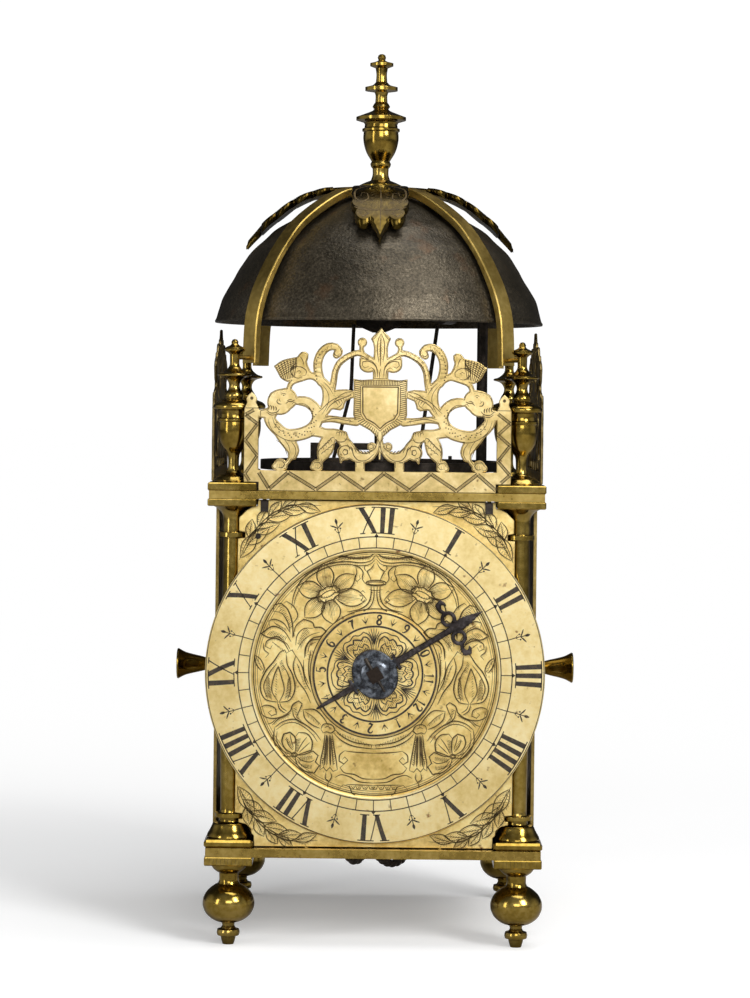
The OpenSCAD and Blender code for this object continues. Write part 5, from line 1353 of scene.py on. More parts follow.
def numeral(acc, text, hour, place):
    """Roman numeral from plain strokes, feet towards the centre."""
    wid = {"I": 3.9, "V": 8.6, "X": 9.4}
    total = sum(wid[c] for c in text)
    x = -total/2
    a = math.radians(90 - 30*hour)
    ca, sa = math.cos(a), math.sin(a)

    def tr(pts):
        out = []
        for u, r in pts:
            # u runs clockwise across the numeral; bend it gently round the ring
            b = a - u/70.0
            out.append((r*math.cos(b), r*math.sin(b)))
        return np.array(out)

    def bar(u0, r0, u1, r1, w_):
        n = 5
        L, Rr = [], []
        dx, dr = u1-u0, r1-r0
        l = math.hypot(dx, dr)
        if abs(dx) < 0.01:
            nx, nr = w_/2, 0
        else:
            nx, nr = w_/2*l/abs(dr), 0     # cut level with the serifs
        for i in range(n+1):
            t = i/n
            u, r = u0+dx*t, r0+dr*t
            L.append((u-nx, r))
            Rr.append((u+nx, r))
        P = tr(L + Rr)
        F = [[i, i+1, i+2+n, i+1+n] for i in range(n)]
        acc.add(place(P), F)

    def serif(u0, u1, r):
        n = 6
        us = np.linspace(u0, u1, n+1)
        P = tr([(u, r-0.24) for u in us] + [(u, r+0.24) for u in us])
        acc.add(place(P), [[i, i+1+n, i+2+n, i+1] for i in range(n)])
    for c in text:
        w_ = wid[c]
        m = x + w_/2
        if c == "I":
            bar(m, R0, m, R1, 2.15)
            serif(m-2.3, m+2.3, R0)
            serif(m-2.3, m+2.3, R1)
        elif c == "V":
            bar(m-2.9, R1, m+0.3, R0, 2.0)
            bar(m+3.0, R1, m+0.5, R0, 0.5)
            serif(m-4.9, m-1.0, R1)
            serif(m+1.7, m+4.3, R1)
            serif(m-1.4, m+2.0, R0)
        else:
            bar(m-2.9, R1, m+3.0, R0, 2.0)
            bar(m+3.0, R1, m-2.9, R0, 0.5)
            serif(m-4.9, m-1.0, R1)
            serif(m+1.7, m+4.3, R1)
            serif(m-4.2, m-1.7, R0)
            serif(m+1.0, m+5.0, R0)
        x += w_


acc = Acc()
rp = on_ring(RY)
for h, t in enumerate(["XII", "I", "II", "III", "IIII", "V", "VI", "VII", "VIII", "IX", "X", "XI"]):
    numeral(acc, t, h, rp)
for r, w_ in ((56.7, 0.5), (61.7, 0.5), (75.95, 0.3)):
    ring_band(acc, r, w_, rp, n=240)
for k in range(48):
    a = math.radians(90 - 7.5*k)
    if k % 4 == 2:
        continue
    r0_, r1_ = 56.7, 61.7
    w_ = 0.42
    ribbon(acc, [(r0_*math.cos(a), r0_*math.sin(a)), (r1_*math.cos(a), r1_*math.sin(a))], w_, rp, taper=False)
    if k % 4 == 0:
        q = np.array([(0, 61.2), (-0.9, 62.0), (0, 63.2), (0.9, 62.0)])
        b = a - math.pi/2
        c2, s2 = math.cos(b), math.sin(b)
        fill(acc, np.stack([q[:, 0]*c2 - q[:, 1]*s2, q[:, 0]*s2 + q[:, 1]*c2], 1)[::-1], rp)
for k in range(12):
    b = math.radians(-15 - 30*k)
    c2, s2 = math.cos(b), math.sin(b)
    T = lambda pts: [(x*c2 - y*s2, x*s2 + y*c2) for x, y in pts]
    ribbon(acc, T([(0, 56.7), (0.05, 62), (-0.1, 66), (0.05, 70.2)]), 0.42, rp, taper=False)
    fill(acc, T([(0.05, 69.3), (0.55, 70.1), (0.68, 70.9), (0.35, 71.7), (0.05, 72.1), (-0.28, 71.7), (-0.6, 70.9), (-0.48, 70.1)]), rp)
    for s in (-1, 1):
        ribbon(acc, T([(0, 65.3), (s*0.75, 66.1), (s*1.15, 67.1)]), 0.38, rp, both=False)
        disc_fill(acc, T([(s*1.2, 67.3)])[0], 0.42, rp, 8)
        ribbon(acc, T([(0, 67.5), (s*1.2, 68.5), (s*3.0, 69.6)]), 0.66, rp)
make(acc, "chapter_ring_numerals", "wax", "frame", smooth=False)

# ------------------------------------------------------------------ dial plate and its engraving
DP = Field(-64, 64, 43, 203, 0.3)
half = [(0, 44.8), (53.9, 44.8), (53.9, 49.6), (54.9, 50.6), (55.2, 52.8), (57.4, 54.7), (60.8, 55.5), (60.8, 57.2), (59.1, 57.4), (59.1, 59.5), (62.5, 59.8), (62.5, 183.6), (59.2, 183.8), (59.2, 186.2), (62.0, 186.5), (62.0, 192.8), (60.4, 194.5), (58.6, 196.3), (55.6, 198.0), (53.8, 198.2), (53.8, 200.95), (0, 200.95)]
DP.add(d_poly, half + [(-x, z) for x, z in half[::-1][1:-1]], k=0)
DP.cut(d_disc, ((0, DZ), 6.2))
acc = Acc()
plate(acc, DP, lambda q, t: np.stack([q[:, 0], -68.5 - 2.0*t, q[:, 1]], 1), 0.3, tol=0.02)
for s in (-1, 1):
    tube(acc, [(s*30, -69.5, 41.5), (s*30, -69.5, 45.2)], 0.95, 16)
make(acc, "engraved_dial_plate", "dial", "frame", "dial_plate", angle=25)

DE, DH = Acc(), Acc()          # outlines, and finer shading cuts
dpl = on_ring(-70.5-0.04)
dph = on_ring(-70.5-0.025)


def C(cx, cy, side=0):
    """Drawing units of the dial centre, 0.073 mm each, to mm from the dial centre; side 1 mirrors."""
    x = (cx-781)*0.073
    return ((-x if side else x) - (0.4 if side else -0.0), (781-cy)*0.073)


def contour_shade(pts, w_=0.2, reach=1.0, gap=0.5):
    """Short graver's strokes on the lower right of an outline, as an engraver models a leaf."""
    q = spline(pts, gap, 60)
    n_ = len(q)
    if n_ < 9:
        return
    for i_ in range(2, n_-2):
        d_ = q[i_+1]-q[i_-1]
        l_ = np.linalg.norm(d_)
        if l_ < 1e-6:
            continue
        d_ = d_/l_
        m_ = np.array([-d_[1], d_[0]])
        f_ = 0.55*m_[0] - 0.83*m_[1]
        if f_ < 0:
            m_, f_ = -m_, -f_
        if f_ < 0.22:
            continue
        e_ = reach*(0.30 + 0.95*f_)*(0.78 + 0.22*math.sin(i_*2.7+n_))*min(1.0, 4.0*min(i_, n_-1-i_)/n_+0.3)
        a_ = q[i_] + m_*0.12
        b_ = q[i_] + m_*(0.2+e_) + d_*0.3*e_
        if abs(b_[0]) < 17.5 and -52.5 < b_[1] < -33.5:
            continue
        ribbon(DH, [a_, b_], w_, dph, both=False)


def ln(pts, w_=0.5, side=0, a=None, **k):
    if a is None and w_ >= 0.4:
        contour_shade([C(p[0], p[1], side) for p in pts])
    ribbon(DE if a is None else a, [C(p[0], p[1], side) for p in pts], w_*(1.25 if a is None else 1.35), dpl if a is None else dph, **k)


def both_sides(pts, w_=0.5, a=None, **k):
    ln(pts, w_, 0, a, **k)
    ln(pts, w_, 1, a, **k)


def petal(c, ang, L, W, side, w_=0.48, vein=5, bend=0.0, dark=1.0):
    """Pointed petal from c, with a broken mid line and shading at its base; drawing units."""
    a = math.radians(ang)
    ca, sa = math.cos(a), -math.sin(a)

    def T(u, v):
        v = v + bend*L*(u**2)*0.25
        return (c[0] + u*L*ca + v*sa, c[1] + u*L*sa - v*ca)
    prof = [(0.16, 0.10), (0.34, 0.36), (0.55, 0.5), (0.76, 0.42), (0.92, 0.17), (1.0, 0.0)]
    for s in (-1, 1):
        ln([T(u, s*v*W) for u, v in prof], w_, side)
    for k in range(-vein, vein+1):
        f = k/(vein+0.5)
        l = (0.62 - 0.34*abs(f) + 0.06*((k*7) % 3))*dark
        if abs(k) == 0:
            l = 0.78
        ln([T(0.26, f*W*0.30), (T(0.26+l*0.5, f*W*0.42)), T(0.26+l*0.78, f*W*0.40)], 0.26 if k else 0.34, side, DH, both=False)


def daffodil(cx, cy, side, tilt, scale=1.0):
    for ang, L, W in ((100, 192, 104), (36, 205, 100), (-8, 240, 108), (-80, 188, 116), (-134, 205, 108), (167, 196, 104)):
        petal((cx, cy), ang, L*scale, W*scale, side)
    t = math.radians(tilt)
    ct, st = math.cos(t), -math.sin(t)
    def E(a_, ra, rb):
        return (cx + ra*math.cos(a_)*ct - rb*math.sin(a_)*st, cy + ra*math.cos(a_)*st + rb*math.sin(a_)*ct)
    ring = []
    for k in range(33):
        a_ = 2*math.pi*k/32
        r_ = 1 + 0.07*math.cos(a_*9)
        ring.append(E(a_, 74*r_, 42*r_))
    ln(ring, 0.5, side, taper=False)
    ln([E(2*math.pi*k/24, 46, 17) for k in range(25)], 0.36, side, taper=False)
    for k in range(20):
        a_ = 2*math.pi*k/20
        ln([E(a_, 50, 20), E(a_, 62 + 4*math.sin(k*2.3), 31)], 0.22, side, DH)
    for k in range(26):
        a_ = 2*math.pi*k/26 + 0.1
        ln([E(a_, 78, 46), E(a_, 96 + 14*math.sin(k*3.7), 66 + 12*math.sin(k*2.9))], 0.24, side, DH, both=False)
    for k in range(5):
        ln([E(math.pi*(0.2+0.15*k), 30, 8), E(math.pi*(0.2+0.15*k), 40, 14)], 0.5, side, DH)


def hatch(p0, p1, q0, q1, n, w_=0.24, side=0, bow=0.0):
    """n strokes from the line p0-p1 to the line q0-q1, drawing units."""
    for k in range(n):
        t = (k+0.5)/n
        a_ = (p0[0]+(p1[0]-p0[0])*t, p0[1]+(p1[1]-p0[1])*t)
        b_ = (q0[0]+(q1[0]-q0[0])*t, q0[1]+(q1[1]-q0[1])*t)
        m_ = ((a_[0]+b_[0])/2 + bow*(b_[1]-a_[1]), (a_[1]+b_[1])/2 - bow*(b_[0]-a_[0]))
        ln([a_, m_, b_], w_, side, DH, both=bool(k % 2))


for side in (0, 1):
    # band under the ring with its swag
    ln([(776, 48), (748, 84), (690, 98), (600, 92), (500, 104), (392, 150), (318, 214), (276, 296), (262, 384)], 0.55, side)
    ln([(776, 74), (742, 106), (680, 116), (596, 108), (506, 120), (404, 166), (334, 228), (290, 306), (272, 380)], 0.4, side)
    ln([(772, 40), (720, 66), (640, 70), (560, 58), (470, 74), (380, 118)], 0.7, side)
    hatch((760, 52), (560, 66), (742, 78), (540, 86), 22, 0.26, side)
    hatch((540, 66), (330, 170), (528, 92), (348, 192), 20, 0.24, side)
    ln([(640, 116), (676, 126), (700, 156), (696, 196), (716, 228)], 0.42, side)
    ln([(654, 124), (662, 160), (648, 196), (664, 214), (684, 196), (676, 176)], 0.4, side)
    ln([(770, 100), (752, 130), (724, 150), (742, 184), (752, 214)], 0.42, side)
    ln([(720, 150), (708, 130), (716, 112), (736, 118)], 0.36, side)
    daffodil(487, 293, side, 25)
    # lyre and stalk
    ln([(750, 238), (750, 300), (732, 350), (684, 384), (606, 402)], 0.5, side)
    ln([(768, 238), (768, 312), (748, 366), (696, 400), (628, 416)], 0.42, side)
    hatch((752, 262), (740, 340), (764, 262), (752, 344), 7, 0.3, side)
    ln([(694, 300), (702, 314), (690, 330), (704, 338), (716, 322)], 0.42, side)
    ln([(684, 282), (700, 270), (716, 284)], 0.36, side)
    # curling leaves between flower and tulip
    ln([(272, 566), (268, 480), (240, 394), (196, 352), (152, 366), (150, 402), (184, 408), (196, 392)], 0.55, side)
    ln([(256, 540), (238, 468), (206, 418), (182, 408)], 0.4, side)
    ln([(268, 480), (300, 430), (276, 372), (230, 340), (214, 354)], 0.42, side)
    ln([(262, 590), (214, 522), (148, 496), (76, 542), (126, 566), (182, 560), (236, 606)], 0.52, side)
    ln([(128, 496), (122, 462), (158, 452), (214, 476), (252, 530)], 0.44, side)
    ln([(250, 650), (214, 594), (158, 570), (112, 588), (104, 620), (134, 636), (146, 612)], 0.5, side)
    ln([(258, 640), (232, 600), (184, 580)], 0.3, side, DH)
    ln([(92, 600), (96, 640), (126, 664), (104, 690)], 0.4, side)
    hatch((180, 372), (262, 520), (208, 362), (274, 490), 14, 0.24, side, 0.15)
    hatch((110, 548), (226, 590), (150, 520), (240, 560), 12, 0.24, side, 0.1)
    hatch((150, 468), (230, 510), (168, 486), (236, 530), 9, 0.22, side)
    hatch((140, 588), (236, 650), (160, 604), (226, 664), 9, 0.24, side)
    ln([(272, 566), (290, 492), (338, 450), (392, 470), (404, 500), (446, 500), (478, 524), (448, 552), (396, 566), (360, 606), (346, 690)], 0.52, side)
    ln([(290, 612), (300, 548), (340, 508), (396, 506)], 0.38, side)
    ln([(300, 640), (330, 590), (380, 548), (440, 528)], 0.3, side, DH)
    hatch((300, 600), (344, 500), (322, 640), (380, 530), 13, 0.24, side, 0.12)
    ln([(346, 690), (352, 622), (386, 580), (442, 572)], 0.5, side)
    ln([(364, 660), (378, 610), (420, 588)], 0.3, side, DH)
    for k in range(7):
        ln([(364+6*(k % 3), 640+k*9), (372+6*(k % 3), 643+k*9)], 0.5, side, DH)
    # tulip
    ln([(186, 964), (104, 944), (74, 866), (104, 778), (158, 710), (196, 654), (222, 640), (236, 664)], 0.56, side)
    ln([(192, 964), (256, 950), (288, 884), (274, 796), (240, 730), (232, 668)], 0.56, side)
    ln([(188, 964), (146, 892), (158, 806), (184, 742), (204, 806), (222, 890), (192, 964)], 0.48, side)
    ln([(120, 944), (96, 866), (128, 786), (176, 722)], 0.42, side)
    ln([(244, 948), (262, 870), (246, 794), (212, 732)], 0.42, side)
    hatch((106, 930), (110, 800), (150, 956), (132, 820), 16, 0.3, side, 0.1)
    hatch((266, 930), (262, 800), (224, 950), (244, 830), 14, 0.3, side, -0.1)
    hatch((164, 930), (172, 780), (178, 944), (180, 790), 10, 0.22, side)
    hatch((206, 700), (230, 760), (190, 720), (206, 780), 7, 0.26, side)
    ln([(182, 966), (196, 1006), (232, 1032)], 0.45, side)
    ln([(196, 966), (208, 996), (240, 1018)], 0.38, side)
    # leaves beside the tulip
    ln([(36, 672), (74, 700), (98, 756), (86, 790)], 0.46, side)
    ln([(36, 672), (48, 730), (80, 772)], 0.5, side)
    hatch((44, 690), (84, 770), (60, 700), (92, 760), 8, 0.36, side)
    ln([(300, 690), (268, 640), (232, 660)], 0.4, side)
    ln([(292, 672), (276, 740), (300, 820), (352, 892), (388, 968)], 0.5, side)
    ln([(296, 680), (330, 740), (352, 830), (388, 900)], 0.46, side)
    ln([(340, 700), (344, 780), (372, 850)], 0.36, side)
    hatch((296, 720), (350, 880), (312, 740), (368, 880), 15, 0.24, side)
    ln([(384, 640), (372, 720), (374, 800), (392, 880)], 0.4, side)
    # curls under the tulip
    ln([(78, 996), (88, 1040), (144, 1064), (212, 1052), (262, 1016), (276, 978), (312, 954), (334, 972), (318, 1012), (300, 1050), (330, 1076), (300, 1096)], 0.5, side)
    ln([(78, 996), (112, 982), (166, 1000), (176, 1036), (146, 1048), (126, 1028), (146, 1014)], 0.46, side)
    ln([(276, 1000), (282, 1046), (316, 1082), (352, 1100)], 0.4, side)
    hatch((280, 1000), (306, 1080), (300, 990), (322, 1070), 9, 0.3, side)
    ln([(340, 1008), (410, 1006), (462, 1050), (498, 1104)], 0.48, side)
    ln([(340, 1008), (352, 1060), (396, 1100), (446, 1122)], 0.48, side)
    ln([(350, 1018), (400, 1050), (450, 1100)], 0.3, side, DH)
    hatch((362, 1024), (446, 1086), (366, 1052), (436, 1106), 10, 0.22, side)
    ln([(166, 1120), (218, 1082), (290, 1068), (352, 1098), (412, 1144), (452, 1196)], 0.48, side)
    ln([(150, 1106), (190, 1066), (230, 1050), (262, 1030)], 0.4, side)
    ln([(176, 1134), (226, 1098), (288, 1088), (346, 1114), (398, 1158), (432, 1206)], 0.36, side)
    ln([(120, 1100), (150, 1090), (176, 1066)], 0.36, side)
    # rose
    ln([(166, 1122), (160, 1190), (186, 1256), (232, 1296), (286, 1292)], 0.48, side)
    ln([(182, 1140), (180, 1196), (206, 1250), (246, 1278), (286, 1280)], 0.34, side)
    ln([(290, 1284), (236, 1252), (212, 1206), (222, 1160), (262, 1148), (292, 1178), (298, 1232), (292, 1284)], 0.52, side)
    ln([(292, 1178), (316, 1148), (366, 1156), (398, 1200), (396, 1256), (356, 1270), (300, 1290)], 0.52, side)
    ln([(262, 1160), (270, 1200), (284, 1240)], 0.36, side)
    ln([(240, 1180), (250, 1220), (276, 1256)], 0.34, side)
    ln([(366, 1176), (340, 1210), (306, 1270)], 0.36, side)
    ln([(384, 1210), (356, 1236), (318, 1272)], 0.34, side)
    hatch((300, 1190), (300, 1270), (330, 1180), (316, 1262), 10, 0.28, side)
    hatch((230, 1190), (280, 1262), (246, 1176), (288, 1246), 9, 0.26, side)
    ln([(296, 1288), (348, 1284), (404, 1262), (436, 1290), (420, 1330), (444, 1352), (414, 1398), (350, 1384), (306, 1342), (292, 1290)], 0.5, side)
    ln([(302, 1296), (340, 1322), (388, 1330), (414, 1316)], 0.36, side)
    ln([(306, 1310), (336, 1352), (386, 1372)], 0.34, side)
    hatch((310, 1300), (400, 1290), (322, 1330), (404, 1312), 13, 0.24, side)
    hatch((320, 1340), (400, 1350), (336, 1362), (402, 1376), 9, 0.26, side)
    for r_ in (10, 18):
        ln([(290+r_*math.cos(t), 1286+r_*0.8*math.sin(t)) for t in np.linspace(0, 2*math.pi, 12)], 0.32, side, taper=False)
    # bow and hanging folds
    ln([(452, 1128), (462, 1100), (492, 1092), (524, 1104), (538, 1132), (514, 1150), (486, 1142), (466, 1150), (452, 1128)], 0.46, side)
    ln([(474, 1118), (494, 1110), (514, 1122)], 0.36, side)
    ln([(478, 1152), (468, 1240), (452, 1320), (448, 1378)], 0.5, side)
    ln([(520, 1152), (534, 1240), (548, 1320), (556, 1376)], 0.5, side)
    for x0, x1, w_ in ((488, 476, 0.85), (496, 490, 0.5), (506, 512, 0.85), (513, 530, 0.5)):
        ln([(x0, 1160), ((x0+x1)/2, 1250), (x1, 1350)], w_, side)
    ln([(448, 1378), (470, 1362), (488, 1384), (510, 1362), (530, 1386), (556, 1376)], 0.46, side)
    ln([(470, 1362), (466, 1320), (478, 1290)], 0.36, side)
    ln([(510, 1362), (508, 1310)], 0.36, side)
    ln([(486, 1392), (482, 1430), (506, 1448), (520, 1420), (514, 1392)], 0.42, side)
    ln([(504, 1448), (496, 1474), (500, 1494)], 0.4, side)
    hatch((470, 1180), (456, 1340), (482, 1180), (470, 1340), 12, 0.24, side)
    hatch((522, 1180), (544, 1340), (510, 1190), (530, 1350), 12, 0.24, side)
    # swag of the cloth under the disc, cartouche left bare, scalloped foot
    ln([(534, 1124), (584, 1170), (660, 1206), (781, 1222)], 0.5, side)
    ln([(530, 1150), (580, 1196), (656, 1230), (781, 1246)], 0.5, side)
    hatch((548, 1140), (770, 1224), (552, 1160), (768, 1242), 22, 0.24, side)
    ln([(600, 1258), (570, 1284), (566, 1322), (596, 1340), (620, 1316), (600, 1296), (586, 1312)], 0.46, side)
    ln([(600, 1258), (660, 1266), (781, 1272)], 0.42, side)
    ln([(596, 1340), (572, 1364), (600, 1394), (660, 1404), (712, 1428), (781, 1432)], 0.46, side)
    ln([(540, 1424), (580, 1406), (630, 1418), (690, 1448), (781, 1456)], 0.46, side)
    ln([(560, 1500), (592, 1468), (632, 1482), (650, 1520), (700, 1540), (781, 1546)], 0.42, side)
    for k in range(4):
        x0 = 630+k*40
        ln([(x0, 1470), (x0+8, 1492), (x0+26, 1494), (x0+38, 1474)], 0.42, side)
        ln([(x0+10, 1474), (x0+20, 1486), (x0+30, 1476)], 0.3, side)
    ln([(610, 1466), (690, 1468), (781, 1470)], 0.36, side)
ln([(781 + 62*math.cos(t), 222 + 17*math.sin(t)) for t in np.linspace(0, 2*math.pi, 24)], 0.44, 0, taper=False)
ln([(781 + 50*math.cos(t), 224 + 9*math.sin(t)) for t in np.linspace(0, 2*math.pi, 24)], 0.3, 0, taper=False)
ln([(740, 262), (781, 268), (822, 262)], 0.3, 0)
for r_, w_ in ((54.7, 0.55), (53.9, 0.3), (52.9, 0.22)):
    ring_band(DE if w_ > 0.3 else DH, r_, w_, dpl, n=200)
ring_band(DE, 29.2, 0.5, dpl, n=128)


# laurel sprays in the four corners
def leaf_mm(p, ang, L, W, n=4):
    ca, sa = math.cos(ang), math.sin(ang)
    T = lambda u, v: (p[0] + u*L*ca - v*sa, p[1] + u*L*sa + v*ca)
    pr = [(0.0, 0.0), (0.2, 0.3), (0.45, 0.5), (0.72, 0.36), (0.9, 0.12), (1.0, 0.0)]
    for s in (-1, 1):
        ribbon(DE, [T(u, s*v*W) for u, v in pr], 0.5, dpl)
        contour_shade([T(u, s*v*W) for u, v in pr], 0.2, 0.95, 0.55)
    ribbon(DE, [T(0.02, 0), T(0.5, 0.02*W), T(0.9, 0)], 0.34, dpl)
    for k in range(n):
        u = 0.18 + 0.6*k/n
        for s in (-1, 1):
            ribbon(DH, [T(u, 0), T(u+0.14, s*W*0.22)], 0.22, dph, both=False)
    for k in range(7):
        u = 0.2 + 0.09*k
        ribbon(DH, [T(u, 0.42*W*math.sin(math.pi*u)), T(u+0.05, 0.2*W*math.sin(math.pi*u))], 0.26, dph, both=False)


for sx in (-1, 1):
    for sz in (-1, 1):
        st = [(-61.6, -50.5), (-58.6, -58.0), (-54.0, -65.0), (-46.0, -72.2), (-36.5, -75.6), (-25.0, -75.4)]
        if sz > 0:
            st = [(x, z) for x, z in st]
        q = spline(st, 1.0, 80)
        M2 = lambda p: (sx*-1*p[0], sz*-1*p[1])
        ribbon(DE, [M2(p) for p in q[::2]], 0.5, dpl, step=3)
        ribbon(DE, [M2((p[0]+0.5, p[1]+0.9)) for p in q[2:-4:2]], 0.34, dpl, step=3)
        m = len(q)
        for t, s, L, W, off in ((0.03, 1, 13.5, 4.6, 12), (0.16, 1, 12.5, 4.4, 26), (0.30, 1, 12.0, 4.2, 34), (0.46, 1, 11.5, 4.0, 30), (0.62, 1, 11.0, 3.8, 26), (0.78, 1, 10.0, 3.4, 20),
                               (0.24, -1, 8.0, 3.6, 24), (0.36, -1, 8.5, 3.8, 16), (0.50, -1, 8.0, 3.4, 14), (0.64, -1, 7.5, 3.0, 14)):
            i = min(m-3, int(t*m))
            p, d = q[i], q[i+2]-q[i]
            ang = math.atan2(d[1], d[0]) + s*math.radians(off)
            # mirror the leaf with the spray
            e = (p[0] + math.cos(ang), p[1] + math.sin(ang))
            P0, P1 = M2(p), M2(e)
            leaf_mm(P0, math.atan2(P1[1]-P0[1], P1[0]-P0[0]), L*1.08, W*1.28, 6)
            if s > 0:
                c_ = (P0[0], P0[1])
        for k in range(26):
            i = min(m-3, int((0.06+0.034*k)*m))
            p, d = q[i], q[i+2]-q[i]
            nrm = np.array([-d[1], d[0]])/np.linalg.norm(d)
            a_ = p - nrm*(1.2 + 0.8*math.sin(k*2.1))
            b_ = a_ - nrm*(2.2 + 1.2*math.sin(k*1.3)) + d*0.6
            ribbon(DH, [M2(a_), M2(b_)], 0.24, dph, both=False)


def clip_plate(acc_):
    """Keeps the cuts that lie on the plate, outside the chapter ring or inside it."""
    V = np.vstack(acc_.v)
    keep = []
    h = DZ
    for f in acc_.f:
        c_ = V[list(f)].mean(0)
        x, z = c_[0], c_[2]
        r = math.hypot(x, z-h)
        on = (r < 55.3 and r > 28.6) or (r > 76.7)
        if on and DP.at(np.array([[x, z]]))[0] < -0.3:
            keep.append(f)
    acc_.f = keep


for a_ in (DE, DH):
    clip_plate(a_)
make(DE, "dial_plate_engraving", "cut", "frame", smooth=False)
make(DH, "dial_plate_shading", "shadecut", "frame", smooth=False)

# ------------------------------------------------------------------ alarm disc
acc = Acc()
annulus(acc, [(4.5, -71.1), (4.5, -72.5), (27.9, -72.5), (28.2, -72.2), (28.2, -71.1)], 128)
annulus(acc, [(4.5, -60), (4.5, -71.15), (5.6, -71.15), (5.6, -60)], 48)
# release cam with its notch
n = 60
a = np.radians(np.linspace(14, 346, n))
V = [(5.5*math.cos(t), -60, DZ+5.5*math.sin(t)) for t in a] + [(9*math.cos(t), -60, DZ+9*math.sin(t)) for t in a]
V += [(x, -62, z) for x, y, z in V]
m2 = 2*n
F = []
for i in range(n-1):
    F += [[i, i+1, n+i+1, n+i], [m2+i, m2+n+i, m2+n+i+1, m2+i+1], [n+i, n+i+1, m2+n+i+1, m2+n+i], [i, m2+i, m2+i+1, i+1]]
F += [[0, n, m2+n, m2], [n-1, m2+n-1, m2+n+n-1, n+n-1]]
acc.add(V, F)
make(acc, "alarm_setting_disc", "dial", "alarm_dial", "alarm_disc", angle=30)

DIG = {
    "0": [[(0, 1), (-0.42, 0.75), (-0.48, 0), (-0.3, -0.8), (0, -1), (0.35, -0.75), (0.46, 0), (0.35, 0.75), (0, 1)]],
    "1": [[(-0.3, 0.6), (0.05, 1), (0.05, -1)], [(-0.35, -1), (0.45, -1)]],
    "2": [[(-0.45, 0.5), (-0.3, 0.9), (0.1, 1), (0.4, 0.7), (0.3, 0.2), (-0.1, -0.4), (-0.5, -0.95)], [(-0.5, -0.95), (-0.2, -0.8), (0.2, -1), (0.5, -0.75)]],
    "3": [[(-0.4, 0.7), (-0.1, 1), (0.3, 0.85), (0.35, 0.45), (0, 0.15)], [(0, 0.15), (0.4, -0.1), (0.42, -0.6), (0.1, -1), (-0.4, -0.75)]],
    "4": [[(0.2, 1), (-0.5, -0.3), (0.5, -0.3)], [(0.2, 0.4), (0.2, -1)]],
    "5": [[(0.45, 0.95), (-0.3, 0.95), (-0.38, 0.1), (0.1, 0.25), (0.45, -0.2), (0.3, -0.85), (-0.1, -1), (-0.45, -0.7)]],
    "6": [[(0.4, 0.8), (0.1, 1), (-0.3, 0.6), (-0.45, -0.3), (-0.2, -0.9), (0.15, -1), (0.42, -0.6), (0.35, -0.1), (0, 0.1), (-0.38, -0.25)]],
    "7": [[(-0.5, 0.7), (-0.2, 0.95), (0.2, 0.8), (0.5, 0.95), (0.1, 0), (-0.05, -1)]],
    "8": [[(0, 0.1), (-0.35, 0.4), (-0.3, 0.85), (0, 1), (0.3, 0.85), (0.32, 0.4), (0, 0.1), (-0.4, -0.3), (-0.4, -0.8), (0, -1), (0.4, -0.8), (0.4, -0.3), (0, 0.1)]],
    "9": [[(0.38, 0.3), (0.1, -0.05), (-0.3, 0.15), (-0.4, 0.6), (-0.1, 1), (0.25, 0.9), (0.42, 0.4), (0.3, -0.4), (-0.1, -0.95), (-0.4, -0.85)]],
}
acc = Acc()
dp = on_ring(-72.5-0.035)
for r, w_ in ((27.6, 0.85), (21.4, 0.85)):
    ring_band(acc, r, w_, dp, n=128)
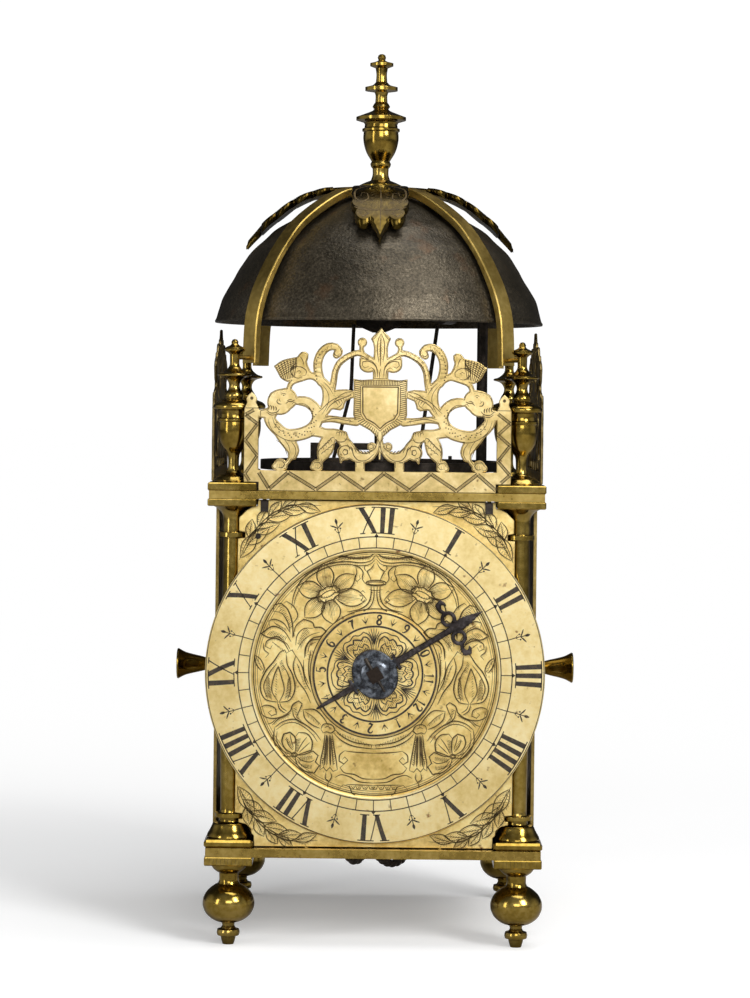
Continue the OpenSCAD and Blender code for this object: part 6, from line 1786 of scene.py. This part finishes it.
for k in range(12):
    num = (8 + k - 1) % 12 + 1
    a = math.radians(86.0 - 30*k)
    txt = str(num)
    for i, chx in enumerate(txt):
        off = (i - (len(txt)-1)/2)*2.5
        for stroke in DIG[chx]:
            pts = []
            for x, y in stroke:
                u, r = x*2.1 + off, 24.4 + y*2.1
                b = a - u/24.3
                pts.append((r*math.cos(b), r*math.sin(b)))
            ribbon(acc, pts, 0.95, dp, step=0.5, corner=70)
    b = a - math.radians(15)
    c2, s2 = math.cos(b-math.pi/2), math.sin(b-math.pi/2)
    T = lambda pts: [(x*c2 - y*s2, x*s2 + y*c2) for x, y in pts]
    ribbon(acc, T([(0, 22.4), (0, 26.2)]), 0.65, dp)
    ribbon(acc, T([(0, 23.2), (-1.4, 25.3)]), 0.65, dp, both=False)
    ribbon(acc, T([(0, 23.2), (1.4, 25.3)]), 0.65, dp, both=False)
# ruffled rose with six lobes and leaf strokes between them
for k in range(6):
    a0 = math.radians(62 + 60*k)
    def T(pts, a0=a0):
        return [(r*math.cos(a0 + math.radians(t)), r*math.sin(a0 + math.radians(t))) for r, t in pts]
    j = 0.5*math.sin(k*2.3)
    ribbon(acc, T([(9.4, -27), (13.6, -27), (17.6, -23), (19.2+j, -16), (18.6, -9), (19.6, -2), (19.0-j, 6), (19.3, 14), (17.6, 22), (13.8, 26), (9.4, 26)]), 0.5, dp)
    ribbon(acc, T([(11.0, -24), (14.6, -23), (16.9, -19), (17.4, -14), (16.2, -9), (17.0, -5), (17.6+j, 1), (16.4, 5), (17.2, 10), (17.4, 15), (15.6, 20), (11.8, 22)]), 0.78, dp)
    ribbon(acc, T([(10.2, -17), (12.8, -18), (14.4, -12), (13.2, -6), (14.6, 0), (13.4, 5), (14.4, 11), (12.6, 16), (10.2, 15)]), 0.6, dp)
    for t in range(-20, 24, 3):
        q_ = 0.5*math.sin(t*1.7+k)
        ribbon(acc, T([(14.9+q_, t*0.95), (16.5+q_*0.5, t+0.5)]), 0.34, dp, both=False)
    for t in np.arange(-40.5, -19.0, 1.15):
        v_ = abs(t+30)/10.5
        ribbon(acc, T([(12.6+5.0*v_**2+0.4*math.sin(t*5), t*0.9-3.0), (17.2+2.2*v_**1.5, t)]), 0.3, dp)
    for t in range(-16, 18, 4):
        ribbon(acc, T([(10.0, t), (11.9, t+0.8), (12.9, t+0.4)]), 0.42, dp, both=False)
    for t in ((-15, 11.4), (-3, 12.2), (9, 11.6)):
        ribbon(acc, T([(t[1], t[0]), (t[1]+1.0, t[0]+4), (t[1]+0.2, t[0]+7)]), 0.7, dp)
    for t, l in ((-37, 19.4), (-33.5, 20.6), (-30, 21.0), (-26.5, 20.6), (-23, 19.4)):
        ribbon(acc, T([(13.2, -30), (16.6, -30+(t+30)*0.55), (l, t)]), 0.42, dp)
make(acc, "alarm_disc_engraving", "wax", "alarm_dial", smooth=False)
